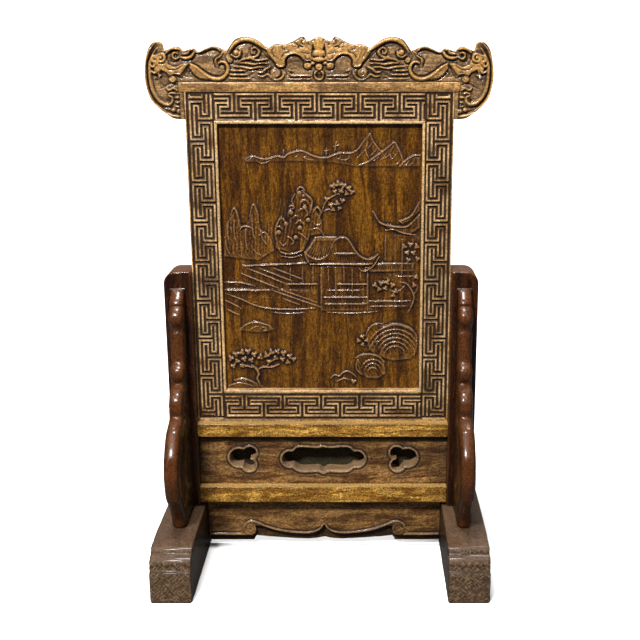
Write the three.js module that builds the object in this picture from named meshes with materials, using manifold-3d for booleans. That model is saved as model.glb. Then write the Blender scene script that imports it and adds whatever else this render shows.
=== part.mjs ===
// A carved hardwood table screen: a framed landscape panel with a carved crest,
// standing between two posts on shaped feet, each post braced by carved brackets.
// Millimetres, +Z up, the front faces -Y. The origin is on the floor under the middle.
import * as THREE from 'three';
import { mergeVertices } from 'three/addons/utils/BufferGeometryUtils.js';
import Module from 'manifold-3d';

const wasm = await Module();
wasm.setup();

// Clearance between two pieces that touch, and along the frame's mitres
const clearance = 0.3;
const mitreClearance = 0.5;

// Grid that every point is set on before solids are joined, and how far a cutting solid reaches past what it cuts
const pointsPerMillimetre = 50;
const overshoot = 1;

// Frame and its fret
const frameWidth = 250;
const frameHeight = 331.7;
const frameThickness = 18;
const sideBand = 29;
const bottomBand = 33;
const topBand = 29;
const capHeight = 9;
const capOverhang = 5;
const capReveal = 1.2;
const fretPeriod = 38.4;
const grooveWidth = 1.8;
const grooveDepth = 1.5;
const sideFretInset = 2.6;
const bottomFretInset = 3.2;
const beadWidth = 1.9;
const bottomBeadWidth = 4.3;
const sideFretRows = 5;
const topFretRows = 6;
const bottomFretRows = 5;

// Landscape panel
const panelThickness = 10;
const panelRecess = 5;
const reliefDepth = 2;

// Crest
const crestEar = 36;
const crestRise = 41;
const crestDrop = 34;
const crestThickness = 14;
const crestProud = 2.5;
const crestRelief = 4;
const nostrilRadius = 1.2;

// Posts, rails and what fills them
const postWidth = 26.3;
const postDepth = 36;
const postTop = 297;
const postRound = 12;
const postStripWidth = 7;
const postStripDepth = 1.2;
const railSetback = 0.4;
const lowerRailBottom = 57;
const lowerRailHeight = 17;
const piercedHeight = 53.4;
const upperRailHeight = 14;
const piercedThickness = 17;
const backingThickness = 3;
const rimWidth = 2.2;
const rimHeight = 0.8;
const cartoucheHalfWidth = 31;
const cartoucheHalfHeight = 12.7;
const cartoucheLobe = 8.3;
const trefoilOffset = 85.5;
const trefoilLobe = 9.5;
const trefoilSmallLobe = 6.5;

// Apron
const apronThickness = 12;
const apronSetback = 14;
const apronDrop = 43;
const apronBackDrop = 51;

// Feet
const footLength = 232;
const footWidth = 40;
const footHeight = 53;
const footGap = 240;
const footCorner = 5;

// Bracket standing before and behind each post
const bracketThickness = 15;
const bracketHeight = 228;
const bracketReach = 80;
const bracketCheek = 3;

// Places worked out from the sizes
const upperRailBottom = lowerRailBottom + lowerRailHeight + piercedHeight + 2 * clearance;
const frameBottom = upperRailBottom + upperRailHeight + clearance;
const frameTop = frameBottom + frameHeight;
const frameFront = -frameThickness / 2;
const postInner = frameWidth / 2 + clearance;
const railFront = -postDepth / 2 + railSetback;
const railDepth = postDepth - 2 * railSetback;
const openingHalf = frameWidth / 2 - sideBand;
const openingBottom = frameBottom + bottomBand;
const openingTop = frameTop - capHeight - topBand;
const panelFront = frameFront + panelRecess;

// Solids: a closed geometry, its points set on a fine grid so that flush faces meet exactly,
// becomes a manifold, and goes back to a geometry after joining and cutting
function solid(geometry) {
  const bare = geometry.clone();
  const places = bare.attributes.position.array;
  places.forEach((place, index) => {
    places[index] = Math.round(place * pointsPerMillimetre) / pointsPerMillimetre;
  });
  bare.deleteAttribute('normal');
  bare.deleteAttribute('uv');
  const merged = mergeVertices(bare, 1e-4);
  return new wasm.Manifold(new wasm.Mesh({
    numProp: 3,
    vertProperties: new Float32Array(merged.attributes.position.array),
    triVerts: new Uint32Array(merged.index.array),
  }));
}

// asOriginal lets coplanar faces left by earlier joins become one face
function geometryOf(manifold) {
  const mesh = manifold.asOriginal().getMesh();
  const geometry = new THREE.BufferGeometry();
  geometry.setAttribute('position', new THREE.BufferAttribute(new Float32Array(mesh.vertProperties), 3));
  geometry.setIndex(new THREE.BufferAttribute(new Uint32Array(mesh.triVerts), 1));
  geometry.computeVertexNormals();
  return geometry;
}

function joined(solids) {
  return solids.reduce((whole, next) => whole.add(next)).asOriginal();
}

function block(x0, x1, y0, y1, z0, z1) {
  const geometry = new THREE.BoxGeometry(x1 - x0, y1 - y0, z1 - z0);
  geometry.translate((x0 + x1) / 2, (y0 + y1) / 2, (z0 + z1) / 2);
  return solid(geometry);
}

function shapeOf(points) {
  return new THREE.Shape(points.map(([u, v]) => new THREE.Vector2(u, v)));
}

// A shape drawn as seen from the front, in X and Z, from y = front to y = back
function plate(shape, front, back, curveSegments = 6) {
  const geometry = new THREE.ExtrudeGeometry(shape, { depth: back - front, bevelEnabled: false, curveSegments });
  geometry.rotateX(Math.PI / 2);
  geometry.translate(0, back, 0);
  return solid(geometry);
}

// A shape drawn as seen from the side, in Y and Z, from x = left to x = right
function sideBoard(shape, left, right, curveSegments = 6) {
  const geometry = new THREE.ExtrudeGeometry(shape, { depth: right - left, bevelEnabled: false, curveSegments });
  const turn = new THREE.Matrix4().makeBasis(
    new THREE.Vector3(0, 1, 0), new THREE.Vector3(0, 0, 1), new THREE.Vector3(1, 0, 0));
  geometry.applyMatrix4(turn);
  geometry.translate(left, 0, 0);
  return solid(geometry);
}

// A round pin lying along Y
function disc(x, z, radius, front, back, sides = 12) {
  const geometry = new THREE.CylinderGeometry(radius, radius, back - front, sides);
  geometry.translate(x, (front + back) / 2, z);
  return solid(geometry);
}

function smooth(points, steps) {
  const curve = new THREE.SplineCurve(points.map(([u, v]) => new THREE.Vector2(u, v)));
  return curve.getPoints(steps).map((point) => [point.x, point.y]);
}

// A raised band of one width along a curve, round the points given
function band(points, width, front, back, steps = 4) {
  const curve = new THREE.SplineCurve(points.map(([u, v]) => new THREE.Vector2(u, v)));
  const outer = [];
  const inner = [];
  for (let step = 0; step <= steps; step += 1) {
    const at = step / steps;
    const point = curve.getPoint(at);
    const tangent = curve.getTangent(at);
    const half = (width / 2) * (0.45 + 0.55 * Math.sin(Math.PI * Math.min(Math.max(at, 0.15), 0.85)));
    outer.push([point.x - tangent.y * half, point.y + tangent.x * half]);
    inner.unshift([point.x + tangent.y * half, point.y - tangent.x * half]);
  }
  return plate(shapeOf([...outer, ...inner]), front, back);
}

function mirrorPoints(points) {
  return points.map(([x, z]) => [-x, z]).reverse();
}

function mirrorSolid(manifold) {
  return manifold.mirror([1, 0, 0]);
}

// Fret: interlocking T shapes in grooves, with one winding groove between them. Rows are counted from the
// band's outer border inwards, and the borders are the rows before the first and after the last
function fretRuns(outerBorder, innerBorder, rowCount, firstStem, low, high) {
  const half = grooveWidth / 2;
  const row = (index) => outerBorder + ((innerBorder - outerBorder) * (index + 1)) / (rowCount + 1);
  const step = Math.abs(innerBorder - outerBorder) / (rowCount + 1);
  const last = rowCount - 1;
  const bar = fretPeriod / 2 - 2 * step;
  const outerBar = row(last - 1);
  const innerBar = row(1);
  const outerTurn = row(Math.max(last - 2, 1));
  const innerTurn = row(Math.min(2, last));
  const runs = [];
  const run = (u0, v0, u1, v1) => {
    const from = Math.max(Math.min(u0, u1) - half, low);
    const to = Math.min(Math.max(u0, u1) + half, high);
    if (to > from) {
      runs.push([from, to, Math.min(v0, v1) - half, Math.max(v0, v1) + half]);
    }
  };
  const firstPeriod = Math.floor((low - firstStem) / fretPeriod) - 1;
  const lastPeriod = Math.ceil((high - firstStem) / fretPeriod);
  for (let period = firstPeriod; period <= lastPeriod; period += 1) {
    const stem = firstStem + period * fretPeriod;
    const middle = stem + fretPeriod / 2;
    run(stem, outerBorder, stem, outerBar);
    run(stem - bar, outerBar, stem + bar, outerBar);
    run(middle, innerBorder, middle, innerBar);
    run(middle - bar, innerBar, middle + bar, innerBar);
    run(stem + step, row(0), stem + fretPeriod - step, row(0));
    run(middle + step, row(last), middle + fretPeriod - step, row(last));
    for (const side of [-1, 1]) {
      run(stem + side * step, row(0), stem + side * step, outerTurn);
      run(stem + side * step, outerTurn, stem + side * bar, outerTurn);
      run(middle + side * step, row(last), middle + side * step, innerTurn);
      run(middle + side * step, innerTurn, middle + side * bar, innerTurn);
    }
  }
  run(low, outerBorder, high, outerBorder);
  run(low, innerBorder, high, innerBorder);
  return runs;
}

// The side bands run through the frame's corners, and the top and bottom bands fill between them
function fretCuts() {
  const half = frameWidth / 2;
  const capBottom = frameTop - capHeight;
  const sideOuter = half - sideFretInset;
  const sideInner = openingHalf + beadWidth + grooveWidth / 2;
  const sideStem = openingBottom + fretPeriod * 0.37;
  const topStem = -2 * fretPeriod;
  const bottomStem = -2.5 * fretPeriod;
  const sides = fretRuns(sideOuter, sideInner, sideFretRows, sideStem, frameBottom + bottomFretInset, capBottom);
  const reach = sideInner;
  const top = fretRuns(capBottom - grooveWidth / 2, openingTop + beadWidth, topFretRows, topStem, -reach, reach);
  const bottom = fretRuns(frameBottom + bottomFretInset + grooveWidth / 2, openingBottom - bottomBeadWidth,
    bottomFretRows, bottomStem, -reach, reach);
  const cut = (x0, x1, z0, z1) => block(x0, x1, frameFront - overshoot, frameFront + grooveDepth, z0, z1);
  return joined([
    ...sides.map(([u0, u1, v0, v1]) => cut(v0, v1, u0, u1)),
    ...sides.map(([u0, u1, v0, v1]) => cut(-v1, -v0, u0, u1)),
    ...top.map(([u0, u1, v0, v1]) => cut(u0, u1, v0, v1)),
    ...bottom.map(([u0, u1, v0, v1]) => cut(u0, u1, v0, v1)),
  ]);
}

// Frame: four mitred members
function frameTopMember(fret) {
  const half = frameWidth / 2;
  const capBottom = frameTop - capHeight;
  const slack = mitreClearance / 2;
  const outline = [
    [-openingHalf + slack, openingTop], [openingHalf - slack, openingTop],
    [half - slack, capBottom], [half + capOverhang, capBottom],
    [half + capOverhang, frameTop], [-half - capOverhang, frameTop],
    [-half - capOverhang, capBottom], [-half + slack, capBottom],
  ];
  const underCap = block(-half, half, frameFront - overshoot, frameFront + capReveal,
    capBottom - grooveWidth, capBottom);
  return plate(shapeOf(outline), frameFront, -frameFront).subtract(fret).subtract(underCap);
}

function frameBottomMember(fret) {
  const half = frameWidth / 2;
  const slack = mitreClearance / 2;
  const outline = [
    [-half + slack, frameBottom], [half - slack, frameBottom],
    [openingHalf - slack, openingBottom], [-openingHalf + slack, openingBottom],
  ];
  return plate(shapeOf(outline), frameFront, -frameFront).subtract(fret);
}

function frameSideMember(side, fret) {
  const half = frameWidth / 2;
  const capBottom = frameTop - capHeight;
  const slack = mitreClearance / 2;
  const outline = [
    [half, frameBottom + slack], [openingHalf, openingBottom + slack],
    [openingHalf, openingTop - slack], [half, capBottom - mitreClearance],
  ];
  const whole = plate(shapeOf(outline), frameFront, -frameFront).subtract(fret);
  return side > 0 ? whole : mirrorSolid(whole);
}

// Landscape panel: each form is drawn on a unit field, u from -1 to 1 and v from 0 to 1
const hills = [
  [-0.74, 0.85], [-0.66, 0.885], [-0.56, 0.875], [-0.42, 0.885], [-0.3, 0.9], [-0.2, 0.905],
  [-0.08, 0.888], [0.05, 0.885], [0.2, 0.897], [0.32, 0.903], [0.4, 0.925], [0.48, 0.965],
  [0.54, 0.93], [0.6, 0.902], [0.66, 0.922], [0.74, 0.925], [0.8, 0.875], [0.9, 0.885],
  [0.97, 0.885], [0.97, 0.845], [0.3, 0.848], [-0.3, 0.85],
];
const rocks = [
  [-0.47, 0.53], [-0.43, 0.65], [-0.38, 0.672], [-0.32, 0.65], [-0.3, 0.7], [-0.24, 0.765],
  [-0.17, 0.778], [-0.12, 0.75], [-0.1, 0.7], [-0.02, 0.735], [0.02, 0.7], [0.02, 0.6], [-0.05, 0.53],
];
const spires = [
  [-0.95, 0.5], [-0.93, 0.62], [-0.87, 0.695], [-0.8, 0.62], [-0.72, 0.64], [-0.67, 0.715],
  [-0.6, 0.64], [-0.5, 0.61], [-0.46, 0.53], [-0.6, 0.5],
];
const pavilionRoof = [
  [-0.47, 0.545], [-0.4, 0.525], [-0.18, 0.535], [-0.08, 0.595], [0.2, 0.597], [0.3, 0.58],
  [0.38, 0.525], [0.48, 0.51], [0.57, 0.525], [0.54, 0.48], [0.46, 0.475], [-0.4, 0.475],
];
const pavilionWall = [
  [-0.02, 0.49], [0.46, 0.49], [0.46, 0.33], [-0.02, 0.33],
];
const rightPavilion = [
  [0.52, 0.68], [0.6, 0.645], [0.72, 0.635], [0.85, 0.66], [0.93, 0.72], [0.97, 0.72], [0.97, 0.34],
  [0.62, 0.34], [0.62, 0.6],
];
const terrace = [
  [-0.97, 0.37], [-0.75, 0.345], [-0.58, 0.32], [-0.04, 0.32], [-0.04, 0.475], [-0.4, 0.475],
  [-0.78, 0.48], [-0.97, 0.47],
];
const pine = [
  [-0.95, 0.08], [-0.93, 0.13], [-0.8, 0.155], [-0.72, 0.162], [-0.6, 0.135], [-0.42, 0.16],
  [-0.28, 0.125], [-0.3, 0.105], [-0.5, 0.09], [-0.62, 0.075], [-0.66, 0.035], [-0.85, 0.03],
];
const boulder = [
  [0.42, 0.14], [0.47, 0.22], [0.6, 0.26], [0.75, 0.265], [0.9, 0.23], [0.97, 0.2], [0.97, 0.07], [0.7, 0.08],
];
const smallBoulder = [
  [0.36, 0.09], [0.4, 0.125], [0.5, 0.14], [0.62, 0.12], [0.68, 0.08], [0.6, 0.05], [0.4, 0.05],
];
const cloudBank = [
  [0.08, 0.045], [0.2, 0.065], [0.3, 0.06], [0.36, 0.035], [0.3, 0.015], [0.15, 0.03],
];

function landscapePanel() {
  const width = 2 * (openingHalf - clearance);
  const bottom = openingBottom + clearance;
  const height = openingTop - clearance - bottom;
  const board = block(-width / 2, width / 2, panelFront, panelFront + panelThickness, bottom, bottom + height);
  const onField = (points) => points.map(([u, v]) => [u * (width / 2), bottom + v * height]);
  const form = (points, share) => plate(
    shapeOf(onField(points)), panelFront - reliefDepth * share, panelFront + panelThickness / 2);
  return joined([
    board, form(hills, 0.6), form(rocks, 1.3), form(spires, 0.9), form(terrace, 0.5),
    form(pavilionWall, 0.8), form(pavilionRoof, 1.4),
    form(rightPavilion, 0.8), form(pine, 1.3), form(boulder, 0.8), form(smallBoulder, 1.2), form(cloudBank, 0.7),
  ]);
}

// Crest: the left half's outline and carving, in millimetres from the middle of the frame's top
// edge, on a crest drawn 161 from the middle to the ear's edge and 41 high
const drawnHalf = 161;
const drawnRise = 41;
const drawnDrop = 34;
const crestTopEdge = [
  [-161, 6], [-159.5, 20], [-157, 29], [-153, 34.5], [-149, 36.2], [-145, 34.5], [-143, 28],
  [-138, 29.5], [-131, 32], [-125, 28], [-119, 29.5], [-115.5, 30], [-111, 27], [-104, 30],
  [-97, 32.2], [-91, 30.5], [-85, 28.5], [-82, 32], [-77, 38], [-70, 40.3], [-63, 40], [-56, 37.2],
  [-50, 32.5], [-46, 31], [-40, 34], [-31, 34], [-23, 37], [-15, 41], [-11, 36.8], [-6, 38.5], [0, 41],
];
const crestEarEdge = [
  [-126, -34], [-136, -33], [-143, -28.5], [-150, -23], [-156, -16], [-159.5, -6],
];
const crestStrokes = [
  { width: 5.5, points: [[-146, 34], [-155, 28], [-158.5, 10], [-157, -8], [-150, -18], [-142, -22], [-137, -16]] },
  { width: 7, points: [[-152, 18], [-146, 22], [-140, 17], [-131, 12], [-123, 14], [-118, 18]] },
  { width: 4.5, points: [[-121, 18], [-112, 12], [-103, 5], [-94, 1.8], [-86, 4], [-84, 11], [-89, 15.5], [-93, 12]] },
  { width: 3.5, points: [[-122, 4], [-114, 4.5], [-106, 1.5]] },
  { width: 4, points: [[-126, 22], [-119, 21], [-114, 25], [-116, 29]] },
  { width: 4, points: [[-110, 27], [-103, 28], [-97, 30], [-91, 27], [-95, 22], [-96, 17]] },
  { width: 5, points: [[-79, 25], [-77, 33], [-69, 37.5], [-60, 36.5], [-52, 29], [-45, 19], [-40, 13]] },
  { width: 3, points: [[-76, 28], [-72, 25], [-70, 29]] },
  { width: 3, points: [[-72, 19], [-66, 22], [-58, 18.5], [-50, 21]] },
  { width: 3, points: [[-70, 14], [-62, 16.5], [-54, 14], [-47, 16], [-49, 10.5]] },
  { width: 2.5, points: [[-82, 9], [-74, 9.5], [-66, 9]] },
  { width: 5, points: [[-34, 26], [-27, 22], [-19, 23], [-15, 18], [-17, 10]] },
  { width: 4, points: [[-36, 30], [-30, 31.5], [-24, 29], [-21, 33], [-16, 37]] },
  { width: 4, points: [[-14, 32], [-9, 30], [-5, 34], [-3, 38]] },
];
const crestDiscs = [
  [-135.5, 4, 4], [-43, 6.5, 4.5], [-82.5, 19, 3], [-29, 30, 2.8], [-12, 17, 3], [-8, 9, 3.5],
];

function crest() {
  const half = frameWidth / 2 + crestEar;
  const stretch = ([x, z]) => [
    x * (half / drawnHalf),
    frameTop + (z > 0 ? z * (crestRise / drawnRise) : z * (crestDrop / drawnDrop)),
  ];
  const leftEdge = [...crestEarEdge, ...crestTopEdge].map(stretch);
  const outline = [...leftEdge, ...mirrorPoints(leftEdge.slice(0, -1))];
  const front = frameFront - crestProud;
  const ground = front + crestRelief;
  const back = front + crestThickness;
  const board = plate(shapeOf(outline), ground, back);
  const strokes = crestStrokes.map(({ width, points }) => band(points.map(stretch), width, front, ground + overshoot));
  const discs = crestDiscs.map(([x, z, radius]) => {
    const [discX, discZ] = stretch([x, z]);
    return disc(discX, discZ, radius, front, ground + overshoot, 6);
  });
  const leftCarving = joined([...strokes, ...discs]);
  const [, batHeight] = stretch([0, 17]);
  const bat = joined([
    disc(0, batHeight, 7.5, front, ground + overshoot, 8),
    disc(0, batHeight - 11, 4.5, front, ground + overshoot, 8),
    plate(shapeOf([[-4.5, 30], [4.5, 30], [3, 23], [-3, 23]].map(stretch)), front, ground + overshoot),
  ]);
  const carving = joined([leftCarving, mirrorSolid(leftCarving), bat]).intersect(
    plate(shapeOf(outline), front - overshoot, back));
  const capHalf = frameWidth / 2 + capOverhang + clearance;
  const frameRoom = block(-postInner, postInner, front - overshoot, back + overshoot,
    frameBottom, frameTop + clearance);
  const capRoom = block(-capHalf, capHalf, front - overshoot, back + overshoot,
    frameTop - capHeight - clearance, frameTop + clearance);
  const nostril = (side) => {
    const [x, z] = stretch([side * 148.5, 5]);
    return disc(x, z, nostrilRadius, front - overshoot, back + overshoot, 8);
  };
  return joined([board, carving]).subtract(frameRoom).subtract(capRoom).subtract(nostril(-1)).subtract(nostril(1));
}

// Posts: the outer top corner is rounded, and a moulded strip is sunk beside the inner edge
function post(side) {
  const inner = postInner;
  const outer = postInner + postWidth;
  const bottom = footHeight + clearance;
  const profile = new THREE.Shape();
  profile.moveTo(inner, bottom);
  profile.lineTo(outer, bottom);
  profile.lineTo(outer, postTop - postRound);
  profile.absarc(outer - postRound, postTop - postRound, postRound, 0, Math.PI / 2, false);
  profile.lineTo(inner, postTop);
  profile.closePath();
  const body = plate(profile, -postDepth / 2, postDepth / 2, 5);
  const groove = (front) => block(inner + postStripWidth, inner + postStripWidth + grooveWidth,
    front - postStripDepth, front + postStripDepth, bottom - overshoot, postTop + overshoot);
  const whole = body.subtract(groove(-postDepth / 2)).subtract(groove(postDepth / 2));
  return side > 0 ? whole : mirrorSolid(whole);
}

// Rails run between the posts
function rail(bottom, height) {
  const half = frameWidth / 2;
  return block(-half, half, railFront, railFront + railDepth, bottom, bottom + height);
}

function cartouche(extra, front, back) {
  const middle = lowerRailBottom + lowerRailHeight + clearance + piercedHeight / 2;
  const w = cartoucheHalfWidth + extra;
  const h = cartoucheHalfHeight + extra;
  const body = [
    [-w, -h + 5], [-w + 4, -h + 1.2], [-w + 12, -h - 0.3], [-4, -h + 0.3], [0, -h - 2.2], [4, -h + 0.3],
    [w - 12, -h - 0.3], [w - 4, -h + 1.2], [w, -h + 5], [w, h - 4], [w - 4, h - 0.5], [w - 9, h],
    [6, h - 1], [0, h], [-6, h - 1], [-w + 9, h], [-w + 4, h - 0.5], [-w, h - 4],
  ].map(([x, z]) => [x, z + middle]);
  const lobe = (side) => disc(side * (cartoucheHalfWidth + 2.5), middle, cartoucheLobe + extra, front, back, 10);
  return joined([plate(shapeOf(body), front, back), lobe(-1), lobe(1)]);
}

function trefoil(side, extra, front, back) {
  const middle = lowerRailBottom + lowerRailHeight + clearance + piercedHeight / 2;
  const lobeShift = trefoilLobe + 1.5;
  return joined([
    disc(side * trefoilOffset, middle + 1.5, trefoilLobe + extra, front, back, 10),
    disc(side * (trefoilOffset - lobeShift), middle + trefoilSmallLobe, trefoilSmallLobe + extra, front, back, 8),
    disc(side * (trefoilOffset - lobeShift + 1), middle - trefoilSmallLobe,
      trefoilSmallLobe + extra, front, back, 8),
  ]);
}

function piercedPanel() {
  const half = frameWidth / 2;
  const bottom = lowerRailBottom + lowerRailHeight + clearance;
  const front = frameFront;
  const back = front + piercedThickness;
  const openings = (extra, y0, y1) => joined([
    cartouche(extra, y0, y1), trefoil(-1, extra, y0, y1), trefoil(1, extra, y0, y1)]);
  return block(-half, half, front, back, bottom, bottom + piercedHeight)
    .add(openings(rimWidth, front - rimHeight, front + overshoot))
    .subtract(openings(0, front - rimHeight - overshoot, back + overshoot));
}

function backingBoard() {
  const half = frameWidth / 2;
  const bottom = lowerRailBottom + lowerRailHeight + clearance;
  const front = frameFront + piercedThickness + clearance;
  return block(-half, half, front, front + backingThickness, bottom, bottom + piercedHeight);
}

// Apron: a scalloped face with small volutes, over a thicker back with a flatter edge
const apronFaceEdge = [
  [-75, 0], [-72, 2], [-71, 6], [-72, 11], [-66, 11], [-58, 8], [-48, 4.8], [-36, 2.6], [-20, 1.6],
  [-11, 2.8], [-5.5, 5.5], [-2, 9], [0, 12.5],
];
const apronBackEdge = [
  [-74, 0], [-71, 5], [-58, 3.5], [-30, 1.5], [-18, 1], [-8, 1.7], [0, 3.5],
];
const apronVolute = 5;
const apronVoluteOffset = 77;
const apronVoluteRise = 6.5;

function apron() {
  const half = footGap / 2 - clearance;
  const top = lowerRailBottom - clearance;
  const front = -postDepth / 2 + apronSetback;
  const layer = (edge, drop, y0, y1) => {
    const lower = edge.map(([x, z]) => [x, top - drop + z]);
    const points = [
      [-half, top], [-half, top - drop], ...lower, ...mirrorPoints(lower.slice(0, -1)),
      [half, top - drop], [half, top],
    ];
    return plate(shapeOf([...points].reverse()), y0, y1);
  };
  const volute = (side) => disc(side * apronVoluteOffset, top - apronDrop + apronVoluteRise, apronVolute,
    front - rimHeight, front + apronThickness / 2, 12);
  const middle = front + apronThickness / 2;
  const postRoom = block(postInner - 2 * clearance, postInner + postWidth + clearance,
    -postDepth, postDepth, footHeight, top + overshoot);
  return joined([
    layer(apronFaceEdge, apronDrop, front, middle),
    layer(apronBackEdge, apronBackDrop, middle, front + apronThickness),
    volute(-1), volute(1),
  ]).subtract(postRoom).subtract(mirrorSolid(postRoom));
}

// Feet: long blocks whose ends step down over a bead and a cove to a square toe
function foot(side) {
  const half = footLength / 2;
  const toe = footHeight - 22;
  const halfProfile = [
    [half, 0], [half, toe], [half - 3, toe + 1.5], [half - 4.5, toe + 6], [half - 8, toe + 9.5],
    [half - 10.5, toe + 11], [half - 9, toe + 13.5], [half - 11, toe + 16.5], [half - 15, toe + 17.5],
    [half - 16, toe + 19.5], [half - 42, footHeight],
  ];
  const profile = [...halfProfile, ...mirrorPoints(halfProfile)];
  const inner = footGap / 2;
  const body = sideBoard(shapeOf(profile), inner, inner + footWidth);
  const plan = new THREE.Shape();
  const corner = footCorner;
  const outer = inner + footWidth;
  plan.moveTo(inner + corner, -half);
  plan.lineTo(outer - corner, -half);
  plan.absarc(outer - corner, -half + corner, corner, -Math.PI / 2, 0, false);
  plan.lineTo(outer, half - corner);
  plan.absarc(outer - corner, half - corner, corner, 0, Math.PI / 2, false);
  plan.lineTo(inner + corner, half);
  plan.absarc(inner + corner, half - corner, corner, Math.PI / 2, Math.PI, false);
  plan.lineTo(inner, -half + corner);
  plan.absarc(inner + corner, -half + corner, corner, Math.PI, Math.PI * 1.5, false);
  const column = new THREE.ExtrudeGeometry(plan, { depth: footHeight + 2 * overshoot, bevelEnabled: false, curveSegments: 3 });
  column.translate(0, 0, -overshoot);
  const whole = body.intersect(solid(column));
  return side > 0 ? whole : mirrorSolid(whole);
}

// Brackets: reach in front of the post as shares of the bracket's reach, from the foot to the tip
const bracketEdge = [
  [0, 0.62], [0.07, 0.72], [0.13, 0.87], [0.21, 0.965], [0.29, 0.985], [0.36, 0.935],
  [0.42, 0.84], [0.465, 0.66], [0.482, 0.52], [0.5, 0.51], [0.53, 0.495], [0.57, 0.43],
  [0.605, 0.3], [0.63, 0.325], [0.68, 0.31], [0.695, 0.21], [0.75, 0.19],
  [0.82, 0.175], [0.845, 0.22], [0.88, 0.25], [0.91, 0.225], [0.935, 0.15], [0.965, 0.13], [0.985, 0.08],
  [1, 0.015],
];
const bracketEye = [
  [0.12, 0.62], [0.2, 0.74], [0.28, 0.74], [0.36, 0.6], [0.4, 0.4], [0.34, 0.5], [0.26, 0.55], [0.17, 0.55],
];
const bracketSlot = [
  [0.42, 0.14], [0.46, 0.24], [0.54, 0.2], [0.58, 0.12], [0.5, 0.09],
];

function bracket(side, facing) {
  const bottom = footHeight + clearance;
  const back = postDepth / 2 + clearance;
  const place = (inset) => ([height, reach]) => [
    -(back + Math.max(reach * bracketReach - inset, 0.6)), bottom + height * bracketHeight];
  const outline = (inset) => {
    const edge = bracketEdge.map(place(inset));
    return shapeOf([[-back, bottom], [-back, bottom + bracketHeight], ...edge.reverse()]);
  };
  const middle = postInner + postWidth / 2;
  const cheek = sideBoard(outline(bracketCheek), middle - bracketThickness / 2, middle + bracketThickness / 2);
  const nose = sideBoard(outline(0), middle - bracketThickness / 4, middle + bracketThickness / 4);
  const hole = (points, steps) => sideBoard(shapeOf(smooth([...points, points[0]].map(place(0)), steps).slice(0, -1)),
    middle - bracketThickness, middle + bracketThickness);
  let whole = cheek.add(nose).subtract(hole(bracketEye, 7)).subtract(hole(bracketSlot, 5));
  whole = facing > 0 ? whole.mirror([0, 1, 0]) : whole;
  return side > 0 ? whole : mirrorSolid(whole);
}

// Finishes
function wood(colour, roughness) {
  return new THREE.MeshStandardMaterial({ color: colour, roughness, metalness: 0 });
}
const goldenWood = wood(0x8a5f2c, 0.45);
const panelWood = wood(0x4d2d13, 0.5);
const darkWood = wood(0x3a2018, 0.3);
const footWood = wood(0x5a483a, 0.6);
const stainedWood = wood(0x2c2718, 0.8);

const group = new THREE.Group();

function addPiece(name, manifold, material) {
  const mesh = new THREE.Mesh(geometryOf(manifold), material);
  mesh.name = name;
  group.add(mesh);
}

const fret = fretCuts();
for (const [word, side] of [['left', -1], ['right', 1]]) {
  addPiece(`foot_${word}`, foot(side), footWood);
  addPiece(`post_${word}`, post(side), darkWood);
  addPiece(`bracket_${word}_front`, bracket(side, -1), darkWood);
  addPiece(`bracket_${word}_back`, bracket(side, 1), darkWood);
  addPiece(`frame_${word}`, frameSideMember(side, fret), goldenWood);
}
addPiece('frame_top', frameTopMember(fret), goldenWood);
addPiece('frame_bottom', frameBottomMember(fret), goldenWood);
addPiece('landscape_panel', landscapePanel(), panelWood);
addPiece('crest', crest(), goldenWood);
addPiece('upper_rail', rail(upperRailBottom, upperRailHeight), goldenWood);
addPiece('lower_rail', rail(lowerRailBottom, lowerRailHeight), goldenWood);
addPiece('pierced_panel', piercedPanel(), panelWood);
addPiece('backing_board', backingBoard(), stainedWood);
addPiece('apron', apron(), panelWood);

export default group;
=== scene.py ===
import math
import bpy
import bmesh
import numpy as np
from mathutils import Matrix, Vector
from mathutils.geometry import delaunay_2d_cdt


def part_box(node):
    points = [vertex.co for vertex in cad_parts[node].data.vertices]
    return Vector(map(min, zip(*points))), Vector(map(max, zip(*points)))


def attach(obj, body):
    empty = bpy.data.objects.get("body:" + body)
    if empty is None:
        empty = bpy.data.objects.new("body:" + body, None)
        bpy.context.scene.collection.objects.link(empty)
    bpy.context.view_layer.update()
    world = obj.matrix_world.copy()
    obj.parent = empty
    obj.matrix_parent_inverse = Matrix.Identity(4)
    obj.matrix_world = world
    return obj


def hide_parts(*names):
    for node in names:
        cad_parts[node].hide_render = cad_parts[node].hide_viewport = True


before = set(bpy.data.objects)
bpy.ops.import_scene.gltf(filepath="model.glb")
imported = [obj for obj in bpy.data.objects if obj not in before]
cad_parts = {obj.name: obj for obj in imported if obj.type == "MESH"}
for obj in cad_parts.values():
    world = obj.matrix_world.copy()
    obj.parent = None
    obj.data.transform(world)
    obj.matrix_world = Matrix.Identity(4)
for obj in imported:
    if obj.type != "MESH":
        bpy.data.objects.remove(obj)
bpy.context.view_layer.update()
print("frame loaded")

# Everything is drawn in millimetres, as seen from the front, and turned into metres when a mesh is made
metresPerMm = 0.001


def boxOf(node):
    low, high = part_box(node)
    return [value / metresPerMm for value in low], [value / metresPerMm for value in high]


# Camera at the photograph's viewing angle: lens and place were fitted to the frame's edges
camera = {"place": (41.1, -973.8, 503.8), "downTilt": 0.26, "focal": 1019.74, "sensor": 36.0,
          "frameSide": 640, "axisColumn": 363.8}


def makeCamera():
    data = bpy.data.cameras.new("camera")
    data.sensor_width = camera["sensor"]
    data.lens = camera["focal"] / camera["frameSide"] * camera["sensor"]
    data.shift_x = (camera["frameSide"] / 2 - camera["axisColumn"]) / camera["frameSide"]
    data.clip_start = 0.05
    data.clip_end = 30
    eye = bpy.data.objects.new("camera", data)
    eye.location = [value * metresPerMm for value in camera["place"]]
    eye.rotation_euler = (math.pi / 2 - camera["downTilt"], 0, 0)
    bpy.context.scene.collection.objects.link(eye)
    bpy.context.scene.camera = eye


makeCamera()
print("camera placed")

# Lines and outlines


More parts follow.
